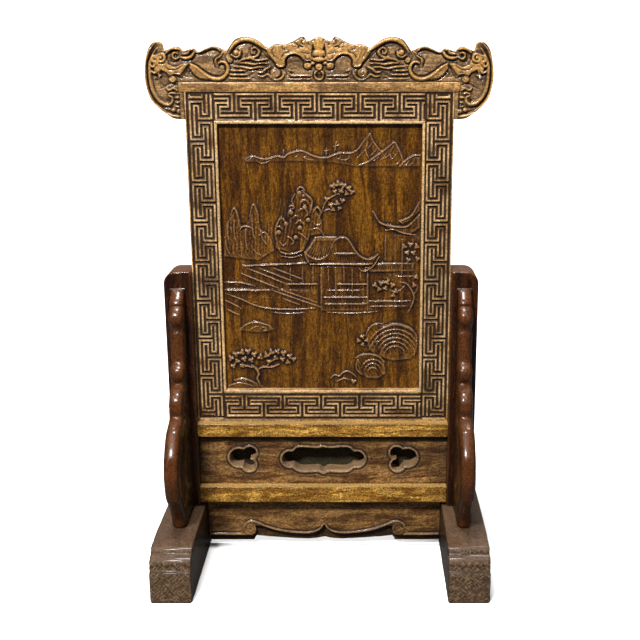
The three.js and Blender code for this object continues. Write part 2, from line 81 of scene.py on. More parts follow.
def smoothPath(points, step=1.0, closed=False):
    # a Catmull-Rom curve through the points, sampled about every step
    base = np.array(points, float)
    if closed:
        base = np.vstack([base[-1], base, base[0], base[1]])
    else:
        base = np.vstack([2 * base[0] - base[1], base, 2 * base[-1] - base[-2]])
    out = []
    for a, b, c, d in zip(base[:-3], base[1:-2], base[2:-1], base[3:]):
        count = max(2, int(math.ceil(np.hypot(*(c - b)) / step)))
        t = (np.arange(count) / count)[:, None]
        out.append(0.5 * (2 * b + (c - a) * t + (2 * a - 5 * b + 4 * c - d) * t ** 2
                          + (3 * b - a - 3 * c + d) * t ** 3))
    path = np.vstack(out)
    return path if closed else np.vstack([path, base[-2]])


def straightPath(points, step=1.0):
    # a closed outline of straight runs, with points about every step
    base = np.array(points, float)
    out = []
    for a, b in zip(base, np.roll(base, -1, axis=0)):
        count = max(1, int(math.ceil(np.hypot(*(b - a)) / step)))
        out.append(a + (b - a) * (np.arange(count) / count)[:, None])
    return np.vstack(out)


def arcPath(middle, radius, start, end, count):
    turn = np.radians(np.linspace(start, end, count))
    return [(middle[0] + radius * math.cos(a), middle[1] + radius * math.sin(a)) for a in turn]


def spiralPath(middle, radius, start, turns, shrink=0.2):
    count = int(14 * abs(turns)) + 4
    share = np.linspace(0, 1, count)
    turn = np.radians(start) + 2 * math.pi * turns * share
    reach = radius * (1 - (1 - shrink) * share)
    return np.stack([middle[0] + reach * np.cos(turn), middle[1] + reach * np.sin(turn)], 1)


def unchanged(points):
    return points


def mirrored(points):
    return [(-x, z) for x, z in points]


bothHalves = (unchanged, mirrored)
bothSides = ((-1, "left"), (1, "right"))


def closedLine(loop):
    return np.vstack([loop, loop[:1]])


def rectangle(xSpan, zSpan, step):
    (x0, x1), (z0, z1) = xSpan, zSpan
    return straightPath([(x0, z0), (x1, z0), (x1, z1), (x0, z1)], step)


def lineDistance(path, xs, zs):
    # distance from every place to a line, and how far along the line the nearest point is
    best = np.full(xs.shape, 1e9)
    share = np.zeros(xs.shape)
    runs = np.hypot(*np.diff(path, axis=0).T)
    total = max(runs.sum(), 1e-9)
    start = 0.0
    for (x0, z0), (x1, z1), run in zip(path[:-1], path[1:], runs):
        if run > 1e-9:
            along = np.clip(((xs - x0) * (x1 - x0) + (zs - z0) * (z1 - z0)) / run ** 2, 0, 1)
            away = np.hypot(xs - x0 - along * (x1 - x0), zs - z0 - along * (z1 - z0))
            closer = away < best
            best = np.where(closer, away, best)
            share = np.where(closer, (start + along * run) / total, share)
        start += run
    return best, share


def insideOf(loop, xs, zs):
    inside = np.zeros(xs.shape, bool)
    for (x0, z0), (x1, z1) in zip(loop, np.roll(loop, -1, axis=0)):
        if abs(z1 - z0) > 1e-9:
            crosses = (z0 > zs) != (z1 > zs)
            inside ^= crosses & (xs < (x1 - x0) * (zs - z0) / (z1 - z0) + x0)
    return inside


# A carving field: heights on a grid, raised and cut by strokes as a carver works


def makeField(low, high, pitch):
    x = np.arange(low[0], high[0] + pitch / 2, pitch)
    z = np.arange(low[1], high[1] + pitch / 2, pitch)
    return {"x": x, "z": z, "pitch": pitch, "h": np.zeros((len(z), len(x)))}


def nearPart(field, points, reach):
    low = np.min(points, axis=0) - reach
    high = np.max(points, axis=0) + reach
    i0, i1 = np.searchsorted(field["x"], [low[0], high[0]])
    j0, j1 = np.searchsorted(field["z"], [low[1], high[1]])
    xs, zs = np.meshgrid(field["x"][i0:i1], field["z"][j0:j1])
    return (slice(j0, j1), slice(i0, i1)), xs, zs


def taper(share, ends):
    return np.clip(np.minimum(share, 1 - share) / max(ends, 1e-6), 0, 1) ** 0.6 * 0.75 + 0.25


def ridge(field, points, width, height, base=0.0, ends=0.25):
    path = smoothPath(points)
    part, xs, zs = nearPart(field, path, width)
    away, share = lineDistance(path, xs, zs)
    across = away / (width / 2 * taper(share, ends))
    rise = base + height * np.clip(1 - across ** 2, 0, 1) ** 0.5
    field["h"][part] = np.where(across < 1, np.maximum(field["h"][part], rise), field["h"][part])


def groove(field, points, width, depth, ends=0.15):
    path = smoothPath(points)
    part, xs, zs = nearPart(field, path, width)
    away, share = lineDistance(path, xs, zs)
    across = away / (width / 2 * taper(share, ends))
    field["h"][part] -= depth * np.clip(1 - across ** 2, 0, 1)


def plateau(field, points, height, edge):
    loop = straightPath(points)
    part, xs, zs = nearPart(field, loop, 1)
    away, _ = lineDistance(closedLine(loop), xs, zs)
    step = np.clip(away / edge, 0, 1)
    rise = height * step * step * (3 - 2 * step)
    now = field["h"][part]
    field["h"][part] = np.where(insideOf(loop, xs, zs), np.maximum(now, rise), now)


def dome(field, middle, radii, height, base=0.0, turn=0.0):
    part, xs, zs = nearPart(field, np.array([middle]), max(radii))
    c, s = math.cos(math.radians(turn)), math.sin(math.radians(turn))
    u = ((xs - middle[0]) * c + (zs - middle[1]) * s) / radii[0]
    v = ((zs - middle[1]) * c - (xs - middle[0]) * s) / radii[1]
    rise = base + height * np.sqrt(np.clip(1 - u * u - v * v, 0, 1))
    field["h"][part] = np.where(u * u + v * v < 1, np.maximum(field["h"][part], rise), field["h"][part])


def softened(values, radius, times=2):
    # repeated box blur along both axes
    for _ in range(times):
        for axis in (0, 1):
            pad = [(radius + 1, radius) if a == axis else (0, 0) for a in (0, 1)]
            total = np.cumsum(np.pad(values, pad, mode="edge"), axis=axis)
            size = values.shape[axis]
            high = np.take(total, np.arange(2 * radius + 1, 2 * radius + 1 + size), axis=axis)
            values = (high - np.take(total, np.arange(size), axis=axis)) / (2 * radius + 1)
    return values


def waviness(xs, zs, seed, size):
    # slow unevenness of a hand-worked face, between about -1 and 1
    draw = np.random.default_rng(seed)
    total = np.zeros(np.shape(xs))
    for _ in range(7):
        angle, phase = draw.uniform(0, 2 * math.pi, 2)
        rate = 2 * math.pi / (size * draw.uniform(0.6, 2.2))
        total = total + np.sin((xs * math.cos(angle) + zs * math.sin(angle)) * rate + phase)
    return total / 4


def finishField(field, reach, hollowDepth):
    # softens tool edges, then notes where the face is hollow, to be darkened as grime and painted shade, and
    # where it stands proud, to be lightened as wear and painted highlight
    field["h"] = softened(field["h"], 1, 1)
    size = max(1, int(reach / field["pitch"]))
    near = softened(field["h"], size)
    field["grimeAndShadeMask"] = np.clip((near - field["h"]) / hollowDepth, 0, 1)
    field["wearAndHighlight"] = np.clip((field["h"] - near) / hollowDepth, 0, 1)
    uneven = (np.abs(field["h"] - near) > 0.05).astype(float)
    field["busy"] = softened(uneven, max(1, int(0.9 / field["pitch"])), 1)


def sampled(field, key, xs, zs):
    u = np.clip((xs - field["x"][0]) / field["pitch"], 0, len(field["x"]) - 1.001)
    v = np.clip((zs - field["z"][0]) / field["pitch"], 0, len(field["z"]) - 1.001)
    i, j = u.astype(int), v.astype(int)
    fu, fv = u - i, v - j
    values = field[key]
    return (values[j, i] * (1 - fu) * (1 - fv) + values[j, i + 1] * fu * (1 - fv)
            + values[j + 1, i] * (1 - fu) * fv + values[j + 1, i + 1] * fu * fv)


# Meshes


def finishMesh(name, mesh, sharpAngle=48):
    work = bmesh.new()
    work.from_mesh(mesh)
    bmesh.ops.remove_doubles(work, verts=work.verts, dist=1e-6)
    bmesh.ops.recalc_face_normals(work, faces=work.faces)
    work.to_mesh(mesh)
    work.free()
    mesh.polygons.foreach_set("use_smooth", np.ones(len(mesh.polygons), bool))
    mesh.set_sharp_from_angle(angle=math.radians(sharpAngle))
    obj = bpy.data.objects.new(name, mesh)
    bpy.context.scene.collection.objects.link(obj)
    return obj


def meshOf(name, places, faces, notes):
    mesh = bpy.data.meshes.new(name)
    mesh.from_pydata((np.asarray(places) * metresPerMm).tolist(), [], faces)
    for key, values in notes.items():
        layer = mesh.attributes.new(key, "FLOAT", "POINT")
        layer.data.foreach_set("value", np.asarray(values, np.float32))
    mesh.update()
    return mesh


def ringPoints(loop, offsets):
    # points just inside a loop, so that its edge can be rounded
    ahead = np.roll(loop, -1, axis=0) - np.roll(loop, 1, axis=0)
    length = np.maximum(np.hypot(*ahead.T), 1e-9)[:, None]
    inward = np.stack([-ahead[:, 1], ahead[:, 0]], 1) / length
    return np.vstack([loop + inward * offset for offset in offsets])


def signedArea(loop):
    nextOne = np.roll(loop, -1, axis=0)
    return 0.5 * np.sum(loop[:, 0] * nextOne[:, 1] - nextOne[:, 0] * loop[:, 1])


def edgeDrop(away, radius):
    return radius - np.sqrt(np.clip(radius ** 2 - np.clip(radius - away, 0, radius) ** 2, 0, None))


def boardFace(loops, pitch, rounding, field):
    # the loops' own points come first, then rows that follow the edges, then a grid that is fine where
    # the carving is busy and three times coarser where the face is plain
    flatLoops = np.vstack(loops)
    low, high = flatLoops.min(0), flatLoops.max(0)
    gridX, gridZ = np.meshgrid(np.arange(low[0] + pitch / 2, high[0], pitch),
                               np.arange(low[1] + pitch / 2, high[1], pitch))
    fine = np.zeros(gridX.shape, bool)
    fine[::3, ::3] = True
    if field is None:
        fine[:] = True
    else:
        fine |= sampled(field, "busy", gridX, gridZ) > 0.01
    inner = np.stack([gridX[fine], gridZ[fine]], 1)
    offsets = [rounding * share for share in (0.12, 0.4, 1.0)]
    rings = np.vstack([ringPoints(loop, offsets) for loop in loops])
    ringAt = np.concatenate([np.repeat(offsets, len(loop)) for loop in loops])
    wanted = np.concatenate([ringAt * 0.85, np.full(len(inner), rounding + 0.4 * pitch)])
    loose = np.vstack([rings, inner])
    away = np.full(len(loose), 1e9)
    inside = np.zeros(len(loose), bool)
    for loop in loops:
        away = np.minimum(away, lineDistance(closedLine(loop), loose[:, 0], loose[:, 1])[0])
        inside ^= insideOf(loop, loose[:, 0], loose[:, 1])
    keep = inside & (away > wanted)
    flat = np.vstack([flatLoops, loose[keep]])
    away = np.concatenate([np.zeros(len(flatLoops)), away[keep]])
    edges = []
    for loop in loops:
        start = len(edges)
        edges += [(start + i, start + (i + 1) % len(loop)) for i in range(len(loop))]
    result = delaunay_2d_cdt([Vector(point) for point in flat], edges, [], 0, 1e-6)
    order = [ids[0] if ids else -1 for ids in result[3]]
    triangles = np.array([[order[i] for i in face] for face in result[2]])
    middle = flat[triangles].mean(axis=1)
    inside = np.zeros(len(triangles), bool)
    for loop in loops:
        inside ^= insideOf(loop, middle[:, 0], middle[:, 1])
    return flat, away, triangles[inside], edges


crispRadius = 0.2
broadRounding = 3.0


def carvedBoard(name, outline, holes, thickness, place, pitches, faces, rounding=1.0, crisp=None):
    # a board of one outline, with both its faces carved: faces holds a field or None for front and back,
    # and crisp tells which places keep a square edge
    loops = [outline if signedArea(outline) > 0 else outline[::-1]]
    loops += [hole if signedArea(hole) < 0 else hole[::-1] for hole in holes]
    places, triangles, notes = [], [], {"grimeAndShadeMask": [], "wearAndHighlight": []}
    count = 0
    for side, field, pitch in ((1, faces[0], pitches[0]), (-1, faces[1], pitches[1])):
        flat, away, flatFaces, edges = boardFace(loops, pitch, rounding, field)
        radius = np.full(len(flat), float(rounding))
        if crisp is not None:
            radius = np.where(crisp(flat[:, 0], flat[:, 1]), crispRadius, radius)
        rise = np.zeros(len(flat)) if field is None else sampled(field, "h", flat[:, 0], flat[:, 1])
        depth = side * (thickness / 2 - edgeDrop(away, radius) + rise * np.clip(away / radius, 0, 1))
        places.append(place(flat[:, 0], flat[:, 1], depth))
        # rounded edges are painted lighter, as edge wear and painted highlight, except where shade is painted
        edgeWearAndHighlight = 0.8 * np.clip(1 - away / radius, 0, 1) * (radius > crispRadius)
        grimeAndShadeMask, wearAndHighlight = np.zeros(len(flat)), np.zeros(len(flat))
        if field is not None:
            grimeAndShadeMask = sampled(field, "grimeAndShadeMask", flat[:, 0], flat[:, 1])
            wearAndHighlight = sampled(field, "wearAndHighlight", flat[:, 0], flat[:, 1])
        # on broadly rounded boards the painted shade fades out over the rounded edge, so that edge stays
        # light
        if rounding > broadRounding:
            grimeAndShadeMask = grimeAndShadeMask * np.clip(away / radius, 0, 1)
        notes["grimeAndShadeMask"].append(grimeAndShadeMask)
        notes["wearAndHighlight"].append(np.maximum(wearAndHighlight, edgeWearAndHighlight * (1 - grimeAndShadeMask)))
        triangles += (flatFaces[:, ::side] + count).tolist()
        sideStart = count
        count += len(flat)
    triangles += [(a, b, b + sideStart, a + sideStart) for a, b in edges]
    mesh = meshOf(name, np.vstack(places), triangles, {k: np.concatenate(v) for k, v in notes.items()})
    return finishMesh(name, mesh)


def frontPlace(middleY):
    # depth grows towards the front
    return lambda x, z, depth: np.stack([x, middleY - depth, z], 1)


def sidePlace(middleX, side):
    return lambda y, z, depth: np.stack([middleX + side * depth, y, z], 1)


# Materials


def groupNode(tree, group, values, links=()):
    node = tree.nodes.new("ShaderNodeGroup")
    node.node_tree = group
    for key, value in values.items():
        node.inputs[key].default_value = value
    for key, socket in dict(links).items():
        tree.links.new(socket, node.inputs[key])
    return node


def newGroup(name, inputs, outputs):
    group = bpy.data.node_groups.new(name, "ShaderNodeTree")
    for socket, kind, value in inputs:
        made = group.interface.new_socket(socket, in_out="INPUT", socket_type=kind)
        made.default_value = value
    for socket, kind in outputs:
        group.interface.new_socket(socket, in_out="OUTPUT", socket_type=kind)
    return group, group.nodes.new("NodeGroupInput"), group.nodes.new("NodeGroupOutput")


def addMath(tree, kind, first, second, clamp=False):
    node = tree.nodes.new("ShaderNodeMath")
    node.operation = kind
    node.use_clamp = clamp
    for slot, value in enumerate((first, second)):
        if isinstance(value, (int, float)):
            node.inputs[slot].default_value = value
        elif value is not None:
            tree.links.new(value, node.inputs[slot])
    return node.outputs[0]


def addMix(tree, factor, first, second):
    node = tree.nodes.new("ShaderNodeMix")
    node.data_type = "RGBA"
    for socket, value in ((node.inputs[0], factor), (node.inputs[6], first), (node.inputs[7], second)):
        if isinstance(value, (int, float, tuple)):
            socket.default_value = value
        else:
            tree.links.new(value, socket)
    return node.outputs[2]


def addNoise(tree, vector, scale, detail, rough, distortion=0.0):
    node = tree.nodes.new("ShaderNodeTexNoise")
    node.inputs["Scale"].default_value = scale
    node.inputs["Detail"].default_value = detail
    node.inputs["Roughness"].default_value = rough
    node.inputs["Distortion"].default_value = distortion
    tree.links.new(vector, node.inputs["Vector"])
    return node.outputs["Fac"]


def addRange(tree, value, fromLow, fromHigh, toLow=0.0, toHigh=1.0):
    node = tree.nodes.new("ShaderNodeMapRange")
    node.inputs["From Min"].default_value = fromLow
    node.inputs["From Max"].default_value = fromHigh
    node.inputs["To Min"].default_value = toLow
    node.inputs["To Max"].default_value = toHigh
    tree.links.new(value, node.inputs["Value"])
    return node.outputs["Result"]


def makeGrainGroup():
    # long fibres, pores and slow colour bands of a close-grained hardwood
    group, given, put = newGroup(
        "woodGrain",
        [("Stretch", "NodeSocketVector", (1, 1, 1)), ("Dark", "NodeSocketColor", (0.1, 0.05, 0.02, 1)),
         ("Middle", "NodeSocketColor", (0.3, 0.15, 0.05, 1)),
         ("Light", "NodeSocketColor", (0.5, 0.3, 0.1, 1)), ("Streaks", "NodeSocketFloat", 0.5)],
        [("Color", "NodeSocketColor"), ("Height", "NodeSocketFloat")])
    where = group.nodes.new("ShaderNodeTexCoord").outputs["Object"]
    scaled = group.nodes.new("ShaderNodeVectorMath")
    scaled.operation = "MULTIPLY"
    group.links.new(where, scaled.inputs[0])
    group.links.new(given.outputs["Stretch"], scaled.inputs[1])
    vector = scaled.outputs[0]
    fibres = addNoise(group, vector, 1300, 6, 0.75)
    bands = addNoise(group, vector, 130, 5, 0.65, 0.8)
    pores = addNoise(group, vector, 2200, 2, 0.5)
    tone = addMath(group, "MULTIPLY", addMath(group, "ADD", fibres, bands), 0.5)
    low = addMix(group, addRange(group, tone, 0.42, 0.54), given.outputs["Dark"], given.outputs["Middle"])
    streak = addMath(group, "MULTIPLY", addRange(group, bands, 0.47, 0.60), given.outputs["Streaks"])
    colour = addMix(group, addMath(group, "MULTIPLY", streak, addRange(group, fibres, 0.42, 0.58), True),
                    low, given.outputs["Light"])
    poreMask = addRange(group, pores, 0.36, 0.44, 1.0, 0.0)
    darker = addMix(group, addMath(group, "MULTIPLY", poreMask, 0.35), colour, given.outputs["Dark"])
    height = addMath(group, "SUBTRACT", fibres, addMath(group, "MULTIPLY", poreMask, 0.5))
    group.links.new(darker, put.inputs["Color"])
    group.links.new(height, put.inputs["Height"])
    return group


def makeAgeShadeHighlightGroup():
    # darkens the hollows and other places the mask gives, as grime and painted shade; lightens what stands
    # proud, as rubbed wear and painted highlight; and adds patchy handling
    group, given, put = newGroup(
        "carvedAgeShadeHighlight",
        [("Color", "NodeSocketColor", (0.3, 0.2, 0.1, 1)), ("Grime And Shade Mask", "NodeSocketFloat", 0.0),
         ("Wear And Highlight", "NodeSocketFloat", 0.0), ("Grime And Shade", "NodeSocketColor", (0.02, 0.01, 0.005, 1)),
         ("Rubbed And Highlight", "NodeSocketColor", (0.6, 0.45, 0.3, 1)), ("Rub And Highlight Amount", "NodeSocketFloat", 0.6),
         ("Patches", "NodeSocketFloat", 0.3), ("Rough", "NodeSocketFloat", 0.4),
         ("Mottle", "NodeSocketFloat", 0.3)],
        [("Color", "NodeSocketColor"), ("Roughness", "NodeSocketFloat")])
    where = group.nodes.new("ShaderNodeTexCoord").outputs["Object"]
    patches = addNoise(group, where, 26, 4, 0.6)
    specks = addNoise(group, where, 700, 3, 0.6)
    shade = addMath(group, "MULTIPLY", addRange(group, patches, 0.42, 0.66), given.outputs["Patches"])
    patched = addMix(group, shade, given.outputs["Color"], given.outputs["Grime And Shade"])
    grimeAndShade = addMath(group, "MULTIPLY", given.outputs["Grime And Shade Mask"], 1.6, True)
    grimedAndShaded = addMix(group, grimeAndShade, patched, given.outputs["Grime And Shade"])
    rubAndHighlight = addMath(group, "MULTIPLY", addRange(group, given.outputs["Wear And Highlight"], 0.05, 0.75),
                  addRange(group, specks, 0.3, 0.6, 0.5, 1.0))
    rubbedAndHighlight = addMix(group, addMath(group, "MULTIPLY", rubAndHighlight, given.outputs["Rub And Highlight Amount"], True),
                    grimedAndShaded, given.outputs["Rubbed And Highlight"])
    rough = addMath(group, "ADD", given.outputs["Rough"],
                    addMath(group, "MULTIPLY", addMath(group, "SUBTRACT", specks, 0.5), 0.25))
    rougher = addMath(group, "ADD", rough, addMath(group, "MULTIPLY", grimeAndShade, 0.3), True)
    fleck = addRange(group, addNoise(group, where, 620, 5, 0.72), 0.41, 0.59, -1.0, 1.0)
    uneven = group.nodes.new("ShaderNodeVectorMath")
    uneven.operation = "SCALE"
    group.links.new(rubbedAndHighlight, uneven.inputs[0])
    group.links.new(addMath(group, "ADD", addMath(group, "MULTIPLY", fleck, given.outputs["Mottle"]), 1.0),
                    uneven.inputs["Scale"])
    group.links.new(uneven.outputs[0], put.inputs["Color"])
    group.links.new(rougher, put.inputs["Roughness"])
    return group


def makeDustGroup():
    # pale dust and wear on faces that look up, broken up by noise
    group, given, put = newGroup(
        "topDust",
        [("Color", "NodeSocketColor", (0.3, 0.2, 0.1, 1)), ("Dust", "NodeSocketColor", (0.5, 0.42, 0.34, 1)),
         ("Amount", "NodeSocketFloat", 0.5)],
        [("Color", "NodeSocketColor"), ("Mask", "NodeSocketFloat")])
    facing = group.nodes.new("ShaderNodeNewGeometry")
    split = group.nodes.new("ShaderNodeSeparateXYZ")
    group.links.new(facing.outputs["Normal"], split.inputs[0])
    where = group.nodes.new("ShaderNodeTexCoord").outputs["Object"]
    broken = addRange(group, addNoise(group, where, 240, 5, 0.65), 0.35, 0.62)
    up = addMath(group, "MULTIPLY", addMath(group, "SUBTRACT", split.outputs["Z"], 0.5, True), 2.0, True)
    mask = addMath(group, "MULTIPLY", addMath(group, "MULTIPLY", up, broken), given.outputs["Amount"])
    group.links.new(addMix(group, mask, given.outputs["Color"], given.outputs["Dust"]), put.inputs["Color"])
    group.links.new(mask, put.inputs["Mask"])
    return group


def makeEndGrainGroup():
    # crossed diagonal saw marks with pale specks on the faces that look straight ahead or back
    group, given, put = newGroup(
        "endGrain",
        [("Color", "NodeSocketColor", (0.1, 0.06, 0.03, 1)), ("Speck", "NodeSocketColor", (0.3, 0.2, 0.1, 1)),
         ("Amount", "NodeSocketFloat", 0.6)],
        [("Color", "NodeSocketColor"), ("Height", "NodeSocketFloat")])
    facing = group.nodes.new("ShaderNodeSeparateXYZ")
    group.links.new(group.nodes.new("ShaderNodeNewGeometry").outputs["Normal"], facing.inputs[0])
    where = group.nodes.new("ShaderNodeSeparateXYZ")
    group.links.new(group.nodes.new("ShaderNodeTexCoord").outputs["Object"], where.inputs[0])
    rising = addMath(group, "ADD", where.outputs["X"], where.outputs["Z"])
    falling = addMath(group, "SUBTRACT", where.outputs["X"], where.outputs["Z"])
    marks = []
    for along, across in ((rising, falling), (falling, rising)):
        place = group.nodes.new("ShaderNodeCombineXYZ")
        group.links.new(addMath(group, "MULTIPLY", along, 0.16), place.inputs[0])
        group.links.new(across, place.inputs[1])
        marks.append(addRange(group, addNoise(group, place.outputs[0], 640, 3, 0.6), 0.55, 0.61))
    crossed = addMath(group, "MAXIMUM", marks[0], marks[1])
    ends = addRange(group, addMath(group, "ABSOLUTE", facing.outputs["Y"], None), 0.75, 0.95)
    mask = addMath(group, "MULTIPLY", addMath(group, "MULTIPLY", crossed, ends), given.outputs["Amount"])
    group.links.new(addMix(group, mask, given.outputs["Color"], given.outputs["Speck"]), put.inputs["Color"])
    group.links.new(addMath(group, "MULTIPLY", crossed, ends), put.inputs["Height"])
    return group


grainGroup = makeGrainGroup()
ageShadeHighlightGroup = makeAgeShadeHighlightGroup()
dustGroup = makeDustGroup()
endGrainGroup = makeEndGrainGroup()

# Grain runs along the axis whose stretch is small
alongX = (0.16, 1.0, 1.0)
alongY = (1.0, 0.16, 1.0)
alongZ = (1.0, 1.0, 0.12)

sharedFinish = {"speck": (0.20, 0.12, 0.05), "ends": 0.0, "mottle": 0.42, "bump": 0.25}
woods = {
    "golden": {
        "dark": (0.100, 0.038, 0.004), "middle": (0.290, 0.135, 0.020), "light": (0.700, 0.410, 0.085),
        "grimeAndShade": (0.020, 0.008, 0.002), "rubbedAndHighlight": (0.62, 0.37, 0.075), "streaks": 0.95, "rubAndHighlight": 0.5,
        "patches": 0.3, "rough": 0.40, "coat": 0.15, "dust": 0.3, "mottle": 0.62},
    "fret": {
        "dark": (0.090, 0.040, 0.011), "middle": (0.240, 0.130, 0.046), "light": (0.520, 0.280, 0.075),
        "grimeAndShade": (0.022, 0.009, 0.003), "rubbedAndHighlight": (0.60, 0.40, 0.20), "streaks": 0.85, "rubAndHighlight": 0.6,
        "patches": 0.3, "rough": 0.36, "coat": 0.2, "dust": 0.3},
    "crest": {
        "dark": (0.060, 0.033, 0.015), "middle": (0.180, 0.104, 0.049), "light": (0.330, 0.187, 0.068),
        "grimeAndShade": (0.010, 0.005, 0.002), "rubbedAndHighlight": (0.365, 0.188, 0.044), "streaks": 0.9, "rubAndHighlight": 0.8,
        "patches": 0.35, "rough": 0.30, "coat": 0.25, "dust": 0.2},
    "panel": {
        "dark": (0.026, 0.008, 0.001), "middle": (0.082, 0.029, 0.002), "light": (0.210, 0.088, 0.006),
        "grimeAndShade": (0.008, 0.003, 0.002), "rubbedAndHighlight": (0.29, 0.165, 0.075), "streaks": 0.8, "rubAndHighlight": 0.5,
        "patches": 0.35, "rough": 0.34, "coat": 0.2, "dust": 0.1},
    "lower": {
        "dark": (0.055, 0.021, 0.007), "middle": (0.185, 0.087, 0.026), "light": (0.420, 0.235, 0.078),
        "grimeAndShade": (0.014, 0.007, 0.004), "rubbedAndHighlight": (0.38, 0.25, 0.14), "streaks": 0.85, "rubAndHighlight": 0.55,
        "patches": 0.5, "rough": 0.36, "coat": 0.1, "dust": 0.3},
    "dark": {
        "dark": (0.005, 0.001, 0.001), "middle": (0.020, 0.005, 0.001), "light": (0.070, 0.021, 0.005),
        "grimeAndShade": (0.004, 0.002, 0.001), "rubbedAndHighlight": (0.15, 0.048, 0.012), "streaks": 0.7, "rubAndHighlight": 0.35,
        "patches": 0.35, "rough": 0.22, "coat": 0.22, "dust": 0.08},
    "foot": {
        "dark": (0.005, 0.002, 0.001), "middle": (0.021, 0.010, 0.005), "light": (0.075, 0.040, 0.019),
        "grimeAndShade": (0.004, 0.002, 0.001), "rubbedAndHighlight": (0.12, 0.068, 0.038), "streaks": 0.7, "rubAndHighlight": 0.5,
        "patches": 0.4, "rough": 0.34, "coat": 0.15, "dust": 0.14,
        "speck": (0.26, 0.17, 0.09), "ends": 0.85, "mottle": 0.5, "bump": 0.7},
    "nearBlackShade": {
        "dark": (0.018, 0.014, 0.007), "middle": (0.028, 0.023, 0.011), "light": (0.034, 0.027, 0.013),
        "grimeAndShade": (0.02, 0.016, 0.008), "rubbedAndHighlight": (0.05, 0.04, 0.02), "streaks": 0.3, "rubAndHighlight": 0.1,
        "patches": 0.1, "rough": 0.8, "coat": 0.0, "dust": 0.0},
}
dustColour = (0.18, 0.125, 0.085, 1)
coatRoughness = 0.11
sheen = 0.16
bumpDistance = 0.0004
sawMarkDepth = 2.0


def woodMaterial(kind, stretch):
    finish = {**sharedFinish, **woods[kind]}
    finish = {key: (*value, 1) if isinstance(value, tuple) else value for key, value in finish.items()}
    name = kind + "Wood" + str(stretch.index(min(stretch)))
    if name in bpy.data.materials:
        return bpy.data.materials[name]
    material = bpy.data.materials.new(name)
    material.use_nodes = True
    tree = material.node_tree
    shader = tree.nodes["Principled BSDF"]
    grimeAndShadeMask = tree.nodes.new("ShaderNodeAttribute")
    grimeAndShadeMask.attribute_name = "grimeAndShadeMask"
    wearAndHighlight = tree.nodes.new("ShaderNodeAttribute")
    wearAndHighlight.attribute_name = "wearAndHighlight"
    grain = groupNode(tree, grainGroup, {
        "Stretch": stretch, "Dark": finish["dark"], "Middle": finish["middle"], "Light": finish["light"],
        "Streaks": finish["streaks"]})
    ageShadeHighlight = groupNode(tree, ageShadeHighlightGroup, {
        "Grime And Shade": finish["grimeAndShade"], "Rubbed And Highlight": finish["rubbedAndHighlight"], "Rub And Highlight Amount": finish["rubAndHighlight"],
        "Patches": finish["patches"], "Rough": finish["rough"], "Mottle": finish["mottle"]},
        {"Color": grain.outputs["Color"], "Grime And Shade Mask": grimeAndShadeMask.outputs["Fac"], "Wear And Highlight": wearAndHighlight.outputs["Fac"]})
    ends = groupNode(tree, endGrainGroup, {"Speck": finish["speck"], "Amount": finish["ends"]},
                     {"Color": ageShadeHighlight.outputs["Color"]})
    dust = groupNode(tree, dustGroup, {"Dust": dustColour, "Amount": finish["dust"]},
                     {"Color": ends.outputs["Color"]})
    tree.links.new(dust.outputs["Color"], shader.inputs["Base Color"])
    dusty = addMath(tree, "MULTIPLY", dust.outputs["Mask"], 0.4)
    tree.links.new(addMath(tree, "ADD", ageShadeHighlight.outputs["Roughness"], dusty, True), shader.inputs["Roughness"])
    shader.inputs["Coat Weight"].default_value = finish["coat"]
    shader.inputs["Coat Roughness"].default_value = coatRoughness
    shader.inputs["Specular IOR Level"].default_value = sheen
    bumpNode = tree.nodes.new("ShaderNodeBump")
    bumpNode.inputs["Strength"].default_value = finish["bump"]
    bumpNode.inputs["Distance"].default_value = bumpDistance
    cut = addMath(tree, "MULTIPLY", ends.outputs["Height"], sawMarkDepth * finish["ends"])
    tree.links.new(addMath(tree, "ADD", grain.outputs["Height"], cut), bumpNode.inputs["Height"])
    tree.links.new(bumpNode.outputs["Normal"], shader.inputs["Normal"])
    return material


def dress(obj, node, kinds, stretch):
    obj.data.materials.clear()
    for kind in kinds.split():
        obj.data.materials.append(woodMaterial(kind, stretch))
    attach(obj, "root")
    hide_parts(node)


print("materials made")

# Frame: four mitred members with an interlocking T fret

fret = {"face": -9.0, "back": 9.0, "half": 125.0, "bottom": 142.3, "openingHalf": 96.0,
        "openingBottom": 175.3, "openingTop": 436.0, "capBottom": 465.0, "wide": 1.5, "deep": 1.5,
        "bevel": 0.45, "period": 38.4, "crown": 0.35, "slack": 0.25, "gap": 4, "barGap": 7.5, "widest": 1.3}


